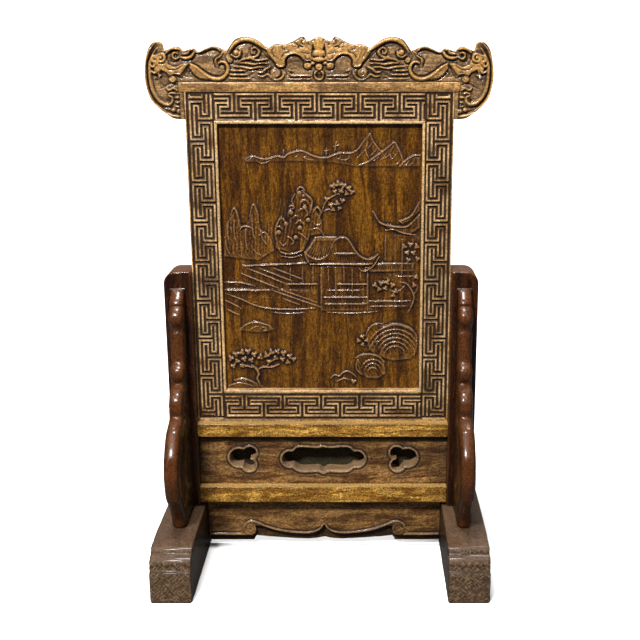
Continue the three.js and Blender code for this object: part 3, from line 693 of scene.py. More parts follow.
def fretRuns(rows, stemsOuter, low, high):
    # rows are counted from the outer border inwards; stemsOuter is where the first outer T stands
    period, gap = fret["period"], fret["gap"]
    last = len(rows) - 1
    runs = []
    first = int(math.floor((low - stemsOuter) / period)) - 1
    count = int(math.ceil((high - low) / period)) + 3
    bar = period / 2 - fret["barGap"]
    half = fret["wide"] / 2
    outerBar = rows[3] if last == 4 else rows[4]
    innerBar = rows[1]

    def run(u0, v0, u1, v1):
        u0, u1 = sorted((u0, u1))
        u0, u1 = max(u0 - half, low), min(u1 + half, high)
        if u1 > u0:
            runs.append((u0, u1, min(v0, v1) - half, max(v0, v1) + half))

    border = (rows[0] + (rows[0] - rows[1]), rows[-1] - (rows[0] - rows[1]))
    for k in range(first, first + count):
        stem = stemsOuter + k * period
        middle = stem + period / 2
        run(stem, border[0], stem, outerBar)
        run(stem - bar, outerBar, stem + bar, outerBar)
        run(middle, border[1], middle, innerBar)
        run(middle - bar, innerBar, middle + bar, innerBar)
        run(stem + gap, rows[0], stem + period - gap, rows[0])
        for side in (-1, 1):
            if last == 4:
                run(stem + side * gap, rows[0], stem + side * gap, rows[2])
                far = middle - gap if side > 0 else stem - period / 2 + gap
                run(stem + side * gap, rows[2], far, rows[2])
                run(middle + side * gap, rows[2], middle + side * gap, rows[4])
            else:
                hook = side * (period / 2 - 2 * gap)
                run(stem + side * gap, rows[0], stem + side * gap, rows[3])
                run(stem + side * gap, rows[3], stem + hook, rows[3])
                run(middle + side * gap, rows[5], middle + side * gap, rows[2])
                run(middle + side * gap, rows[2], middle + hook, rows[2])
        run(middle + gap, rows[-1], middle + period - gap, rows[-1])
    for level in border:
        runs.append((low, high, level - half, level + half))
    return runs


def fretGrid(spans, low, high):
    half = fret["bevel"]
    lines = [low, high]
    for start, end in spans:
        lines += [start - half, start, (start + end) / 2, end, end + half]
    lines = np.unique(np.round([value for value in lines if low <= value <= high], 2))
    keep = [lines[0]]
    for value in lines[1:]:
        if value - keep[-1] > 0.12:
            gap = value - keep[-1]
            pieces = int(math.ceil(gap / fret["widest"]))
            keep += [keep[-1] + gap * (i + 1) / pieces for i in range(pieces)]
    return np.array(keep)


def frameMember(name, xLines, zLines, runs, bead, mitres, seed):
    # the front follows the fret, the other faces are plain, and each end is cut along its mitre
    x, z = np.array(xLines), np.array(zLines)
    xs, zs = np.meshgrid(x, z)
    away = np.full(xs.shape, 1e9)
    for x0, x1, z0, z1 in runs:
        part = (slice(*np.searchsorted(z, [z0 - 3, z1 + 3])), slice(*np.searchsorted(x, [x0 - 3, x1 + 3])))
        outX = np.maximum(np.maximum(x0 - xs[part], xs[part] - x1), 0)
        outZ = np.maximum(np.maximum(z0 - zs[part], zs[part] - z1), 0)
        away[part] = np.minimum(away[part], np.maximum(outX, outZ))
    wobble = waviness(xs, zs, seed, 14)
    height = np.where(away < fret["bevel"], -fret["deep"] * (1 - away / fret["bevel"]), 0.0)
    edge = np.clip(1 - away / 1.0, 0, 1)
    height = height - np.where(away >= fret["bevel"], fret["crown"] * edge ** 1.5, 0) + 0.12 * wobble - 0.12
    # the grooves are painted dark, as grime and painted shade, and the faces are rubbed lighter in random
    # patches and near the grooves
    grimeAndShadeMask = np.where(away < fret["bevel"] * 0.6, 1.0, np.where(away < fret["bevel"] * 1.2, 0.55, 0.0))
    rubbing = np.clip(0.35 + 0.45 * waviness(xs, zs, seed + 1, 18) + 0.3 * edge, 0, 1)
    wearAndHighlight = np.where(away < fret["bevel"], 0.0, rubbing)
    for level, axis, reach in bead:
        across = np.abs((xs if axis == 0 else zs) - level) / reach
        rise = np.sqrt(np.clip(1 - across ** 2, 0, 1)) * 1.0 - 0.6
        height = np.where(across < 1, rise, height)
        grimeAndShadeMask = np.where(across < 1, np.clip((across - 0.72) * 3, 0, 1), grimeAndShadeMask)
        wearAndHighlight = np.where(across < 0.7, 0.75, wearAndHighlight)
    rows, columns = xs.shape
    front = np.stack([xs, fret["face"] - height, zs], 2).reshape(-1, 3)
    back = np.stack([xs, np.full(xs.shape, fret["back"]), zs], 2).reshape(-1, 3)
    ids = np.arange(rows * columns).reshape(rows, columns)
    faces = np.stack([ids[:-1, :-1], ids[:-1, 1:], ids[1:, 1:], ids[1:, :-1]], 2).reshape(-1, 4).tolist()
    rim = np.concatenate([ids[0, :-1], ids[:-1, -1], ids[-1, :0:-1], ids[:0:-1, 0]])
    offset = rows * columns
    backRim = {int(a): offset + i for i, a in enumerate(rim)}
    for a, b in zip(rim, np.roll(rim, -1)):
        faces.append((int(b), int(a), backRim[int(a)], backRim[int(b)]))
    faces.append([backRim[int(a)] for a in rim])
    mesh = meshOf(name, np.vstack([front, back[rim]]), faces,
                  {"grimeAndShadeMask": np.concatenate([grimeAndShadeMask.ravel(), np.zeros(len(rim))]),
                   "wearAndHighlight": np.concatenate([wearAndHighlight.ravel(), np.full(len(rim), 0.2)])})
    work = bmesh.new()
    work.from_mesh(mesh)
    for point, normal in mitres:
        whole = work.verts[:] + work.edges[:] + work.faces[:]
        cut = bmesh.ops.bisect_plane(work, geom=whole, plane_co=Vector(point) * metresPerMm, dist=1e-7,
                                     plane_no=Vector(normal), clear_outer=True)
        openEdges = [edge for edge in cut["geom_cut"]
                     if isinstance(edge, bmesh.types.BMEdge) and edge.is_boundary]
        bmesh.ops.edgeloop_fill(work, edges=openEdges)
    work.to_mesh(mesh)
    work.free()
    return finishMesh(name, mesh, 35)


def spansOf(runs, axis):
    return [(run[0], run[1]) if axis == 0 else (run[2], run[3]) for run in runs]


# Rows are counted from the band's outer border inwards; the side bands run through the corners
sideRows = [-118.5, -114.6, -110.6, -106.7, -102.7]
topRows = [461.0, 457.15, 453.3, 449.45, 445.6, 441.75]
bottomRows = [149.6, 153.7, 157.8, 161.9, 166.0]
frameLow, frameHigh, slack = fret["bottom"], fret["capBottom"], fret["slack"]
mitreRise = (32.7, 29)
leftRuns = [(v0, v1, u0, u1) for u0, u1, v0, v1 in fretRuns(sideRows, 189.5, frameLow + 4.5, frameHigh - 1.2)]
leftRuns += [(-123.1, -98.1, frameLow + 3.4, frameLow + 4.9),
             (-123.1, -98.1, frameHigh - 1.6, frameHigh - 0.1)]
allRuns = leftRuns + [(-x1, -x0, z0, z1) for x0, x1, z0, z1 in leftRuns]
allRuns += fretRuns(topRows, -79.0, -99.4, 99.4) + fretRuns(bottomRows, -97.6, -99.4, 99.4)


def fretMember(name, xSpan, zSpan, beads, mitres, seed):
    near = [run for run in allRuns if run[1] > xSpan[0] - 1 and run[0] < xSpan[1] + 1
            and run[3] > zSpan[0] - 1 and run[2] < zSpan[1] + 1]
    return frameMember(name, fretGrid(spansOf(near, 0), *xSpan), fretGrid(spansOf(near, 1), *zSpan),
                       near, beads, mitres, seed)


for side, word in bothSides:
    outer, inner = side * fret["half"], side * fret["openingHalf"]
    mitres = [((inner, 0, fret["openingBottom"] + slack), (-side * mitreRise[0], 0, -mitreRise[1])),
              ((inner, 0, fret["openingTop"] - slack), (-side * 1, 0, 1))]
    member = fretMember("frame_" + word + "_carved", sorted((outer, inner)), (frameLow, frameHigh),
                        [(side * 97.2, 0, 1.5)], mitres, 11 + side)
    dress(member, "frame_" + word, "fret", alongZ)
print("frame sides made")

mitres = [((side * (fret["openingHalf"] - slack), 0, fret["openingTop"]), (side, 0, -1)) for side in (-1, 1)]
fullSpan = (-fret["half"], fret["half"])
topMember = fretMember("frame_top_fret", fullSpan, (fret["openingTop"], fret["capBottom"]),
                       [(437.5, 1, 1.6)], mitres, 31)
cap = carvedBoard("frame_top_cap", rectangle((-130, 130), (465, 474), 4), [],
                  18, frontPlace(0), (3.0, 6.0), (None, None))
mitres = [((side * (fret["openingHalf"] - slack), 0, fret["openingBottom"]),
           (side * mitreRise[0], 0, mitreRise[1])) for side in (-1, 1)]
bottomMember = fretMember("frame_bottom_carved", fullSpan, (fret["bottom"], fret["openingBottom"]),
                          [(173.4, 1, 1.8)], mitres, 41)
dress(bottomMember, "frame_bottom", "fret", alongX)


def merged(name, parts):
    # several meshes become one piece; each keeps its own place in the list of materials
    work = bmesh.new()
    for index, part in enumerate(parts):
        part.data.polygons.foreach_set("material_index", np.full(len(part.data.polygons), index, np.int32))
        work.from_mesh(part.data)
    mesh = bpy.data.meshes.new(name)
    work.to_mesh(mesh)
    work.free()
    for part in parts:
        bpy.data.objects.remove(part)
    obj = bpy.data.objects.new(name, mesh)
    bpy.context.scene.collection.objects.link(obj)
    return obj


dress(merged("frame_top_carved", [topMember, cap]), "frame_top", "fret golden", alongX)
print("frame top and bottom made")

# Rails: rough-planed golden wood

rail = {"wave": 0.3, "rounding": 1.1, "pitch": 1.6, "endDarkening": 0.25, "topDarkening": 0.5}


def planedRail(node, seed):
    low, high = boxOf(node)
    outline = rectangle((low[0], high[0]), (low[2], high[2]), rail["pitch"])
    field = makeField((low[0] - 2, low[2] - 2), (high[0] + 2, high[2] + 2), rail["pitch"] / 2)
    xs, zs = np.meshgrid(field["x"], field["z"])
    field["h"] = rail["wave"] * (waviness(xs / 3, zs, seed, 7) - 1) * 0.5
    finishField(field, 2.0, 0.3)
    # darker towards the ends, and darker along the top edge, where the painted edge highlight is also taken
    # back
    towardsEnds = rail["endDarkening"] * np.clip((np.abs(xs) - 98) / 27, 0, 1)
    alongTop = rail["topDarkening"] * np.clip((zs - high[2] + 1.4) / 0.8, 0, 1)
    field["grimeAndShadeMask"] = np.maximum(np.maximum(field["grimeAndShadeMask"], towardsEnds), alongTop)
    board = carvedBoard(node + "_planed", outline, [], high[1] - low[1], frontPlace((low[1] + high[1]) / 2),
                        (rail["pitch"], 6.0), (field, None), rail["rounding"])
    dress(board, node, "golden", alongX)


planedRail("upper_rail", 5)
planedRail("lower_rail", 6)
print("rails made")

# Pierced panel: one cartouche and two trefoils with raised rims

openingMiddle = 101.0
# strength, fade and starting heights of the painted shadow bands under the rails
railShadow = {"grimeAndShade": 0.92, "fade": 2.0, "panelStart": 121.8, "apronStart": 49.8}


def shadeUnderRail(field, zs, start):
    # painted shadow under a rail: a dark band, with the painted edge highlights taken away there
    band = np.clip((zs - start) / railShadow["fade"], 0, 1)
    field["grimeAndShadeMask"] = np.maximum(field["grimeAndShadeMask"], railShadow["grimeAndShade"] * band)
    field["wearAndHighlight"] *= 1 - band


def cartoucheLoop():
    w, h = 31, 12.7
    lower = [(0, -h - 2.2), (2.5, -h - 0.8), (6, -h + 0.3), (w - 12, -h - 0.3), (w - 5, -h + 0.9),
             (w - 0.6, -h + 4.4)]
    lobe = arcPath((33.5, 0), 8.3, -82, 82, 13)
    upper = [(w - 0.6, h - 4.4), (w - 4, h - 0.9), (w - 9, h), (14, h - 0.4), (6, h - 1.0), (2, h - 0.2),
             (0, h)]
    right = lower + lobe + upper
    left = [(-x, z) for x, z in reversed(right[1:-1])]
    return np.array([(x, z + openingMiddle) for x, z in right + left])


def trefoilLoop(side):
    lobes = [((85.5, 102.5), 9.5), ((74.5, 107.5), 6.5), ((75.5, 94.5), 6.5)]
    points = []
    centre = np.array((79.0, 101.3))
    for turn in np.linspace(0, 2 * math.pi, 72, endpoint=False):
        ray = np.array((math.cos(turn), math.sin(turn)))
        best = 0
        for (x, z), radius in lobes:
            offset = np.array((x, z)) - centre
            along = ray @ offset
            room = radius ** 2 - (offset @ offset - along ** 2)
            if room > 0:
                best = max(best, along + math.sqrt(room))
        points.append(centre + ray * best)
    loop = np.array(points)
    return loop * (side, 1) if side > 0 else (loop * (side, 1))[::-1]


openings = [smoothPath(cartoucheLoop(), 1.2, closed=True)] + [trefoilLoop(side) for side in (-1, 1)]
field = makeField((-126, 73), (126, 129), 0.5)
xs, zs = np.meshgrid(field["x"], field["z"])
field["h"] = 0.1 * waviness(xs / 3, zs, 8, 9) - 0.1
shade = np.zeros(xs.shape)
for loop in openings:
    part, px, pz = nearPart(field, loop, 9)
    away, _ = lineDistance(closedLine(loop), px, pz)
    outside = ~insideOf(loop, px, pz)
    rim = 0.8 * np.sqrt(np.clip(1 - ((away - 1.0) / 1.15) ** 2, 0, 1))
    secondRing = 0.35 * np.clip(1 - np.abs(away - 4.6) / 0.7, 0, 1)
    ditch = 0.7 * np.clip(1 - np.abs(away - 3.1) / 0.9, 0, 1)
    field["h"][part] = np.where(outside & (away < 2.3), np.maximum(rim, field["h"][part]),
                                field["h"][part] + np.where(outside, secondRing - ditch, 0))
    # painted shade just outside each opening's rim
    around = np.where(outside, np.clip(1 - (away - 2.0) / 5.5, 0, 1) * (away > 2.2), 0)
    shade[part] = np.maximum(shade[part], around)
finishField(field, 1.6, 0.7)
# darker towards the ends
ends = 0.3 * np.clip((np.abs(xs) - 96) / 26, 0, 1)
field["grimeAndShadeMask"] = np.maximum(np.maximum(field["grimeAndShadeMask"], 0.42 * shade), ends)
shadeUnderRail(field, zs, railShadow["panelStart"])
board = carvedBoard("pierced_panel_carved", rectangle((-125, 125), (74.3, 127.7), 1.5), openings, 17,
                    frontPlace(-0.5), (0.8, 5.0), (field, None), 0.6)
dress(board, "pierced_panel", "lower", alongX)
print("pierced panel made")

# Apron: a scalloped face with volutes over a back painted darker, as shade under the face

apron = {"top": 56.7, "half": 119.7, "thick": 6, "rounding": 0.5}


def apronLoop(edge, drop):
    half, top, bottom = apron["half"], apron["top"], apron["top"] - drop
    lower = [(x, bottom + z) for x, z in edge]
    lower += mirrored(lower[:-1])[::-1]
    return straightPath([(-half, top), (-half, bottom)] + lower + [(half, bottom), (half, top)], 1.4)


faceEdge = [(-75, 0), (-72, 2), (-71, 6), (-72, 11), (-66, 11), (-58, 8), (-48, 4.8), (-36, 2.6), (-20, 1.6),
            (-11, 2.8), (-5.5, 5.5), (-2, 9), (0, 12.5)]
backEdge = [(-74, 0), (-71, 5), (-58, 3.5), (-30, 1.5), (-18, 1), (-8, 1.7), (0, 3.5)]
field = makeField((-122, 4), (122, 59), 0.5)
xs, zs = np.meshgrid(field["x"], field["z"])
field["h"] = 0.12 * waviness(xs / 3, zs, 9, 9) - 0.12
scallop = [(-84, 22), (-82.5, 26), (-79, 28.8), (-75, 29.6), (-70, 28.5), (-60, 24), (-50, 20.5), (-40, 18.5),
           (-30, 17.3), (-20, 16.5), (-12, 17.5), (-6, 20), (-2.5, 23.5), (0, 27.5)]
for turn in bothHalves:
    groove(field, turn([(x, z + 1.9) for x, z in scallop]), 1.6, 0.7, ends=0.02)
    groove(field, turn([(-119, 17.6), (-100, 17.4), (-88, 17.6), (-86, 20)]), 1.6, 0.7, ends=0.02)
    ridge(field, turn(scallop), 2.2, 0.8, ends=0.02)
    ridge(field, turn([(-119.4, 15.2), (-100, 14.9), (-88, 15.0), (-82, 14.6)]), 2.2, 0.8, ends=0.02)
    coil = [(-77 + x, 20 + z) for x, z in spiralPath((0, 0), 5.6, 200, -1.6, 0.15)]
    dome(field, turn([(-77, 20)])[0], (6.8, 6.8), 0.7, base=-0.2)
    groove(field, turn(coil), 1.1, 0.8, ends=0.1)
    groove(field, turn([(-84.2, 21), (-83.6, 16), (-79, 13.6)]), 1.2, 0.6, ends=0.1)
finishField(field, 1.6, 0.7)
shadeUnderRail(field, zs, railShadow["apronStart"])
face = carvedBoard("apron_face", apronLoop(faceEdge, 43), [], apron["thick"], frontPlace(-1), (0.7, 5.0),
                   (field, None), apron["rounding"])
back = carvedBoard("apron_back", apronLoop(backEdge, 51), [], apron["thick"], frontPlace(5), (2.5, 5.0),
                   (None, None), apron["rounding"])
# the back is painted darker all over, as shade under the face
backPaintedShade = np.full(len(back.data.vertices), 0.5, np.float32)
back.data.attributes["grimeAndShadeMask"].data.foreach_set("value", backPaintedShade)
dress(merged("apron_carved", [face, back]), "apron", "lower lower", alongX)
print("apron made")

# Posts

post = {"inner": 125.3, "outer": 151.6, "bottom": 53.3, "top": 297.0, "corner": 12.0, "middle": 138.5,
        "thick": 36, "rounding": 1.6}


def postOutline(side):
    corner = post["corner"]
    points = [(post["inner"], post["bottom"]), (post["outer"], post["bottom"])]
    points += arcPath((post["outer"] - corner, post["top"] - corner), corner, 0, 90, 10)
    return straightPath([(side * x, z) for x, z in points + [(post["inner"], post["top"])]], 2.5)


for side, word in bothSides:
    field = makeField((side * post["middle"] - 16, 50), (side * post["middle"] + 16, 300), 0.6)
    xs, zs = np.meshgrid(field["x"], field["z"])
    u = side * xs - post["inner"]
    strip = 0.35 * np.sqrt(np.clip(1 - ((u - 3.6) / 3.2) ** 2, 0, 1)) - 0.45
    sunk = -1.1 * np.clip(1 - ((u - 7.9) / 1.0) ** 2, 0, 1)
    bow = -0.5 * np.clip((u - 17) / 9.3, 0, 1) ** 2
    field["h"] = np.where(u < 7, strip, sunk + bow) + 0.1 * waviness(xs, zs / 4, 14 + side, 10) - 0.1
    finishField(field, 1.6, 0.6)
    board = carvedBoard("post_" + word + "_moulded", postOutline(side), [], post["thick"], frontPlace(0),
                        (1.2, 2.5), (field, field), post["rounding"])
    dress(board, "post_" + word, "dark", alongZ)
print("posts made")

# Brackets: heights and reaches in front of the post, from the foot to the tip

bracketProfile = [
    (53.5, 50), (64, 53.5), (75, 61), (86, 69), (92, 74.5), (97, 76.5), (106, 79), (114, 79.6), (122, 78.6),
    (133, 76), (140, 72), (146, 67.4), (152, 62), (157, 57), (160, 49), (162.6, 40.6), (165, 39), (170, 39.8),
    (178, 38.2), (184, 34), (187.5, 29), (190, 22.2), (192, 20.6), (196, 23.2), (201, 24), (206, 22.6),
    (210, 18), (212.5, 15.6), (226, 15.2), (238, 15.4), (242.5, 13.6), (246, 15), (250, 18), (254, 19),
    (259, 17.6), (264, 13.6), (266, 11), (268, 11.8), (272, 9.4), (276, 5.4), (279, 2.6), (281.2, 1.0),
]
bracketEye = [(80, 49), (98, 59), (117, 59.5), (135, 48), (143, 32), (131, 41), (112, 45), (92, 44.5)]
bracketSlot = [(149, 11), (158, 19), (176, 16), (185.5, 9.5), (167, 7)]

bracketCuts = [
    # width, depth, fade at the ends, points as reach and height
    (2.2, 1.0, 0.02, [(74, 92), (70, 86), (52, 74), (34, 84), (22, 108), (26, 136), (44, 154), (62, 156)]),
    (2.0, 0.9, 0.15, [(20, 60), (40, 66), (58, 66)]), (2.0, 1.0, 0.15, [(3, 163), (22, 160), (40, 163)]),
    (2.0, 1.0, 0.15, [(3, 188), (12, 192), (22, 190)]), (1.8, 0.9, 0.15, [(3, 212), (16, 211)]),
    (1.8, 0.9, 0.15, [(2, 243), (13, 243)]), (1.8, 0.9, 0.15, [(2, 265), (11, 266)]),
]
postFront = 18
bracket = {"gap": 0.3, "low": 53.3, "high": 281.3, "reach": 97.8, "middle": 138.4, "thick": 15,
           "rounding": 5.6}


def beforePost(points):
    return [(-postFront - reach, height) for reach, height in points]


def bracketField():
    field = makeField((-102, 50), (-14, 284), 0.7)
    ys, zs = np.meshgrid(field["x"], field["z"])
    field["h"] = 0.15 * waviness(ys, zs, 17, 12) - 0.15
    for width, depth, ends, points in bracketCuts:
        groove(field, beforePost(points), width, depth, ends=ends)
    coil = [(-postFront - 30 + 1.2 * y, 176 + z) for y, z in spiralPath((0, 0), 7.5, 180, 1.2, 0.2)]
    groove(field, coil, 1.4, 0.8)
    finishField(field, 2.4, 0.9)
    # the bracket's carved faces, which look sideways, are painted darker all over, as shade
    field["grimeAndShadeMask"] = np.maximum(field["grimeAndShadeMask"], 0.35 + 0.3 * waviness(ys, zs, 44, 9))
    return field


def turnedField(field):
    turned = {key: field[key][:, ::-1] for key in ("h", "grimeAndShadeMask", "wearAndHighlight", "busy")}
    return {**turned, "x": -field["x"][::-1], "z": field["z"], "pitch": field["pitch"]}


def besidePost(facing):
    return lambda y, z: facing * y > -postFront - 1.5


profile = smoothPath([(-postFront - reach, height) for height, reach in bracketProfile], 2.2)
innerEdge = -postFront - bracket["gap"]
edgeLine = np.vstack([profile, [(innerEdge, bracket["high"])], [(innerEdge, bracket["low"])]])
edgeLine[:, 0] = np.clip(edgeLine[:, 0], -bracket["reach"], innerEdge)
edgeLine[:, 1] = np.clip(edgeLine[:, 1], bracket["low"], bracket["high"])
outline = straightPath(edgeLine, 2.2)
eyes = [smoothPath([(-postFront - reach, height) for height, reach in hole], 2.2, closed=True)
        for hole in (bracketEye, bracketSlot)]
frontField = bracketField()
for side, word in bothSides:
    for facing, where in ((1, "front"), (-1, "back")):
        flip = np.array((facing, 1.0))
        field = frontField if facing > 0 else turnedField(frontField)
        node = "bracket_" + word + "_" + where
        board = carvedBoard(node + "_carved", outline * flip, [eye * flip for eye in eyes], bracket["thick"],
                            sidePlace(side * bracket["middle"], side), (1.5, 1.5), (field, field),
                            bracket["rounding"], besidePost(facing))
        dress(board, node, "dark", alongZ)
print("brackets made")

# Feet: long blocks whose ends step down over a bead and a cove to a square toe

foot = {"middle": 140, "thick": 40, "rounding": 1.8}
toe = [(116, 0), (116, 12), (116, 24), (115.9, 30.2), (115.2, 31.2), (113.4, 31.8), (113.0, 33), (112.8, 36),
       (113.2, 37.4), (112.8, 39.6), (111.4, 42), (109, 43.8), (106.2, 44.8), (104.2, 45.2), (103.8, 46.2),
       (103.2, 48.2), (101.6, 49.8), (99.6, 50.5), (90, 51.4), (80, 52.4), (74, 53)]
footLine = [(-y, z) for y, z in reversed(toe)] + toe
for side, word in bothSides:
    field = makeField((-118, -2), (118, 56), 1.0)
    ys, zs = np.meshgrid(field["x"], field["z"])
    field["h"] = 0.25 * waviness(ys / 2, zs, 21 + side, 8) - 0.25
    for end in (-1, 1):
        for y, z, width in ((114.4, 31.6, 1.8), (113.2, 36.8, 1.2), (104, 45.6, 1.6)):
            groove(field, [(end * (y + 3), z), (end * (y - 4), z), (end * (y - 9), z)], width, 1.2, ends=0.1)
    finishField(field, 2.0, 0.6)
    board = carvedBoard("foot_" + word + "_worn", straightPath(footLine, 2.5), [], foot["thick"],
                        sidePlace(side * foot["middle"], side), (2.2, 2.2), (field, field), foot["rounding"])
    dress(board, "foot_" + word, "foot", alongY)
print("feet made")

# Crest: two dragons' heads reach out to the ears from scrolling clouds, with a bat in the middle.
# Drawn on the right half in millimetres; every stroke is also mirrored

crestTop = [
    (126, 440), (136, 441), (143, 445.5), (150, 451), (156, 458), (159.5, 468), (161, 480), (159.5, 494),
    (157, 503), (153, 508.5), (149, 510.2), (145, 508.5), (143, 502.4), (138, 503.5), (131, 506), (125, 502),
    (119, 503.5), (115.5, 504.2), (111, 501), (104, 504), (97, 506.2), (91, 504.5), (85, 502.5), (82, 506),
    (77, 512), (70, 514.3), (63, 514), (56, 511.2), (50, 506.5), (46, 505), (40, 508), (31, 508), (23, 511),
    (15, 515), (11, 510.8), (6, 512.5), (0, 515),
]
crestRidges = [
    # width, top, points
    (2.6, 3.6, [(149.6, 509), (155.6, 501.5), (159.3, 491), (159.8, 479), (158.5, 467), (154.7, 457.6),
                (149, 451.6), (143, 447.4)]),
    (3.4, 3.1, [(148.6, 504), (153.2, 497), (155.6, 487), (155.8, 477), (154.2, 467.6), (150.4, 460),
                (145, 455), (139.6, 453.6), (136.2, 456.4), (136.4, 460.4), (139.4, 461.6)]),
    (2.6, 3.3, [(144, 446.8), (137, 443.6), (129, 442.6)]), (1.8, 2.4, [(129.8, 460), (134, 460)]),
    (1.8, 2.4, [(129.8, 455.6), (133.4, 455.6)]), (1.8, 2.4, [(129.8, 451.6), (133.6, 452)]),
    (2.2, 3.0, [(131, 466), (134.6, 468.6), (138.4, 466.6), (141.6, 469.4)]),
    (2.0, 2.8, [(132.6, 463.4), (137, 464.4), (139.6, 462.6)]),
    (2.2, 3.5, [(147, 492), (151.6, 487.6), (155.2, 489.8)]),
    (2.2, 3.4, [(146.6, 485.8), (150.6, 482.2), (154.4, 484.2)]), (2.2, 3.5, [(145, 480.4), (149.2, 478.4)]),
    (2.4, 3.9, [(147.2, 498.6), (143.6, 499.2), (141.4, 496.4), (142.6, 493), (146, 492.4), (147.6, 495)]),
    (2.2, 3.8, [(149, 498), (152.4, 496.4), (152.6, 492.8), (149.8, 491.8)]),
    (2.6, 3.7, [(127.6, 503), (132, 504.2), (137, 502.6), (140.4, 499)]),
    (1.8, 3.7, [(128.8, 499.4), (132.6, 500.2), (134, 497), (131.4, 494.6), (128.6, 496)]),
    (2.8, 3.9, [(114, 500.6), (116.4, 497.2), (121, 495.4), (126.6, 496)]),
    (2.0, 3.3, [(115.6, 502.6), (118.6, 502.4), (120.2, 499.8), (125, 499)]),
    (2.4, 3.3, [(90, 501.6), (93.6, 504.6), (98, 505.2), (104, 503.2), (109, 501.4), (113.4, 501.6)]),
    (2.0, 2.9, [(87.4, 501), (91, 497), (94.4, 494.8), (94.6, 490.6)]),
    (3.0, 3.8, [(118.6, 490.6), (112.6, 487.2), (106, 481.8), (99.8, 477.9), (93.6, 476.7), (88, 478.4),
                (84.4, 482.4), (83.6, 487), (85.6, 491), (89.4, 492.2), (92.6, 490.6)]),
    (3.4, 3.8, [(44, 500.6), (50, 504.8), (56, 508.8), (63, 511.6), (70, 511.6), (76.2, 508.6), (80.4, 503.8),
                (82.4, 500)]),
    (1.9, 3.2, [(72.2, 501.2), (72.8, 497.6), (76, 496.2), (79.6, 498)]),
    (2.2, 3.2, [(61.4, 502.8), (58.4, 505), (54.8, 502.8), (55.4, 498.4), (59.6, 496.2), (65, 496.8)]),
    (1.6, 3.0, [(61.6, 502.6), (61, 499.6), (58.4, 499.8)]),
    (2.1, 3.1, [(46.6, 494.8), (52, 493.8), (57.4, 493.6), (63, 495.2), (69, 494.2), (74, 491.8)]),
    (2.1, 3.0, [(47, 490.6), (53, 491.0), (60, 489.9), (66, 490.9), (73, 491)]),
    (2.0, 2.9, [(49.6, 487.2), (56, 487.6), (63, 486.2), (70, 487.5), (79, 488)]),
    (1.8, 2.7, [(68, 484.4), (76, 484.2), (81.6, 484.6)]),
    (1.8, 2.6, [(66.4, 480.8), (74, 480.6), (82, 480.8)]), (1.6, 2.4, [(63, 477.2), (74, 477), (83, 477.2)]),
    (2.0, 3.2, [(56.6, 479.8), (51.6, 479), (47.6, 480.8), (43.6, 478.4), (38.6, 476.2), (34, 478),
                (31.8, 482)]),
    (2.0, 3.1, [(45, 487.6), (49, 485.6), (52.6, 482.8), (57, 483.2)]),
    (1.6, 2.5, [(7, 479.6), (16, 479.9), (24.6, 479.7), (28, 482.4)]),
    (1.6, 2.6, [(24.8, 483.8), (28.4, 485)]), (1.5, 2.3, [(6.4, 476.9), (17, 476.8), (29, 476.7)]),
    (1.6, 3.8, [(31.4, 488.6), (31.7, 493.6), (28.4, 498.3), (22.4, 499.7), (17, 497.8), (13.6, 494)]),
    (1.5, 3.8, [(39, 490), (36.6, 488), (32.2, 488.2)]), (1.6, 3.8, [(38, 506.4), (37.4, 500), (35.4, 494)]),
    (1.9, 3.7, [(4, 480), (2.9, 477.3), (0, 476.2), (-2.9, 477.3), (-4, 480)]),
    (1.7, 3.6, [(4, 480), (3.4, 482.6), (1.6, 484)]),
]
crestPlateaus = [
    # top, edge, points
    (3.1, 0.9, [(4.6, 513.6), (5.6, 499), (4, 497), (6.4, 492.2), (12.6, 491.8), (14.8, 494.6), (17.6, 497.8),
                (22.4, 499.4), (28.2, 498), (31, 493.6), (30.8, 488), (37.6, 487.6), (41.6, 492.4), (48, 500),
                (48, 505), (44.6, 505.2), (41.6, 507.4), (34, 507.8), (25.6, 509.2), (18.6, 512.8),
                (15, 514.2), (12, 509.8), (8.6, 511.4)]),
    (3.0, 0.8, [(118.4, 491), (106.5, 481.8), (98, 476.6), (103, 476), (110, 476.8), (115, 480.4),
                (119.6, 486.6)]),
    (3.2, 1.0, [(118.6, 491.4), (124.4, 491.4), (132, 488), (137.6, 490), (141, 500), (148, 500), (152, 497),
                (153, 489), (151, 481), (147, 479), (145, 484), (140.6, 482), (138, 478.6), (132.6, 480.4),
                (127.4, 479), (124, 483.6), (121.2, 487.4)]),
    (1.7, 0.8, [(92, 499), (104, 499.6), (113, 498), (118, 492), (106, 484), (97, 480), (90, 480.4),
                (96, 488)]),
    (1.7, 0.8, [(63, 505.6), (70, 506.6), (75, 504.4), (70, 499), (65, 498.4)]),
]
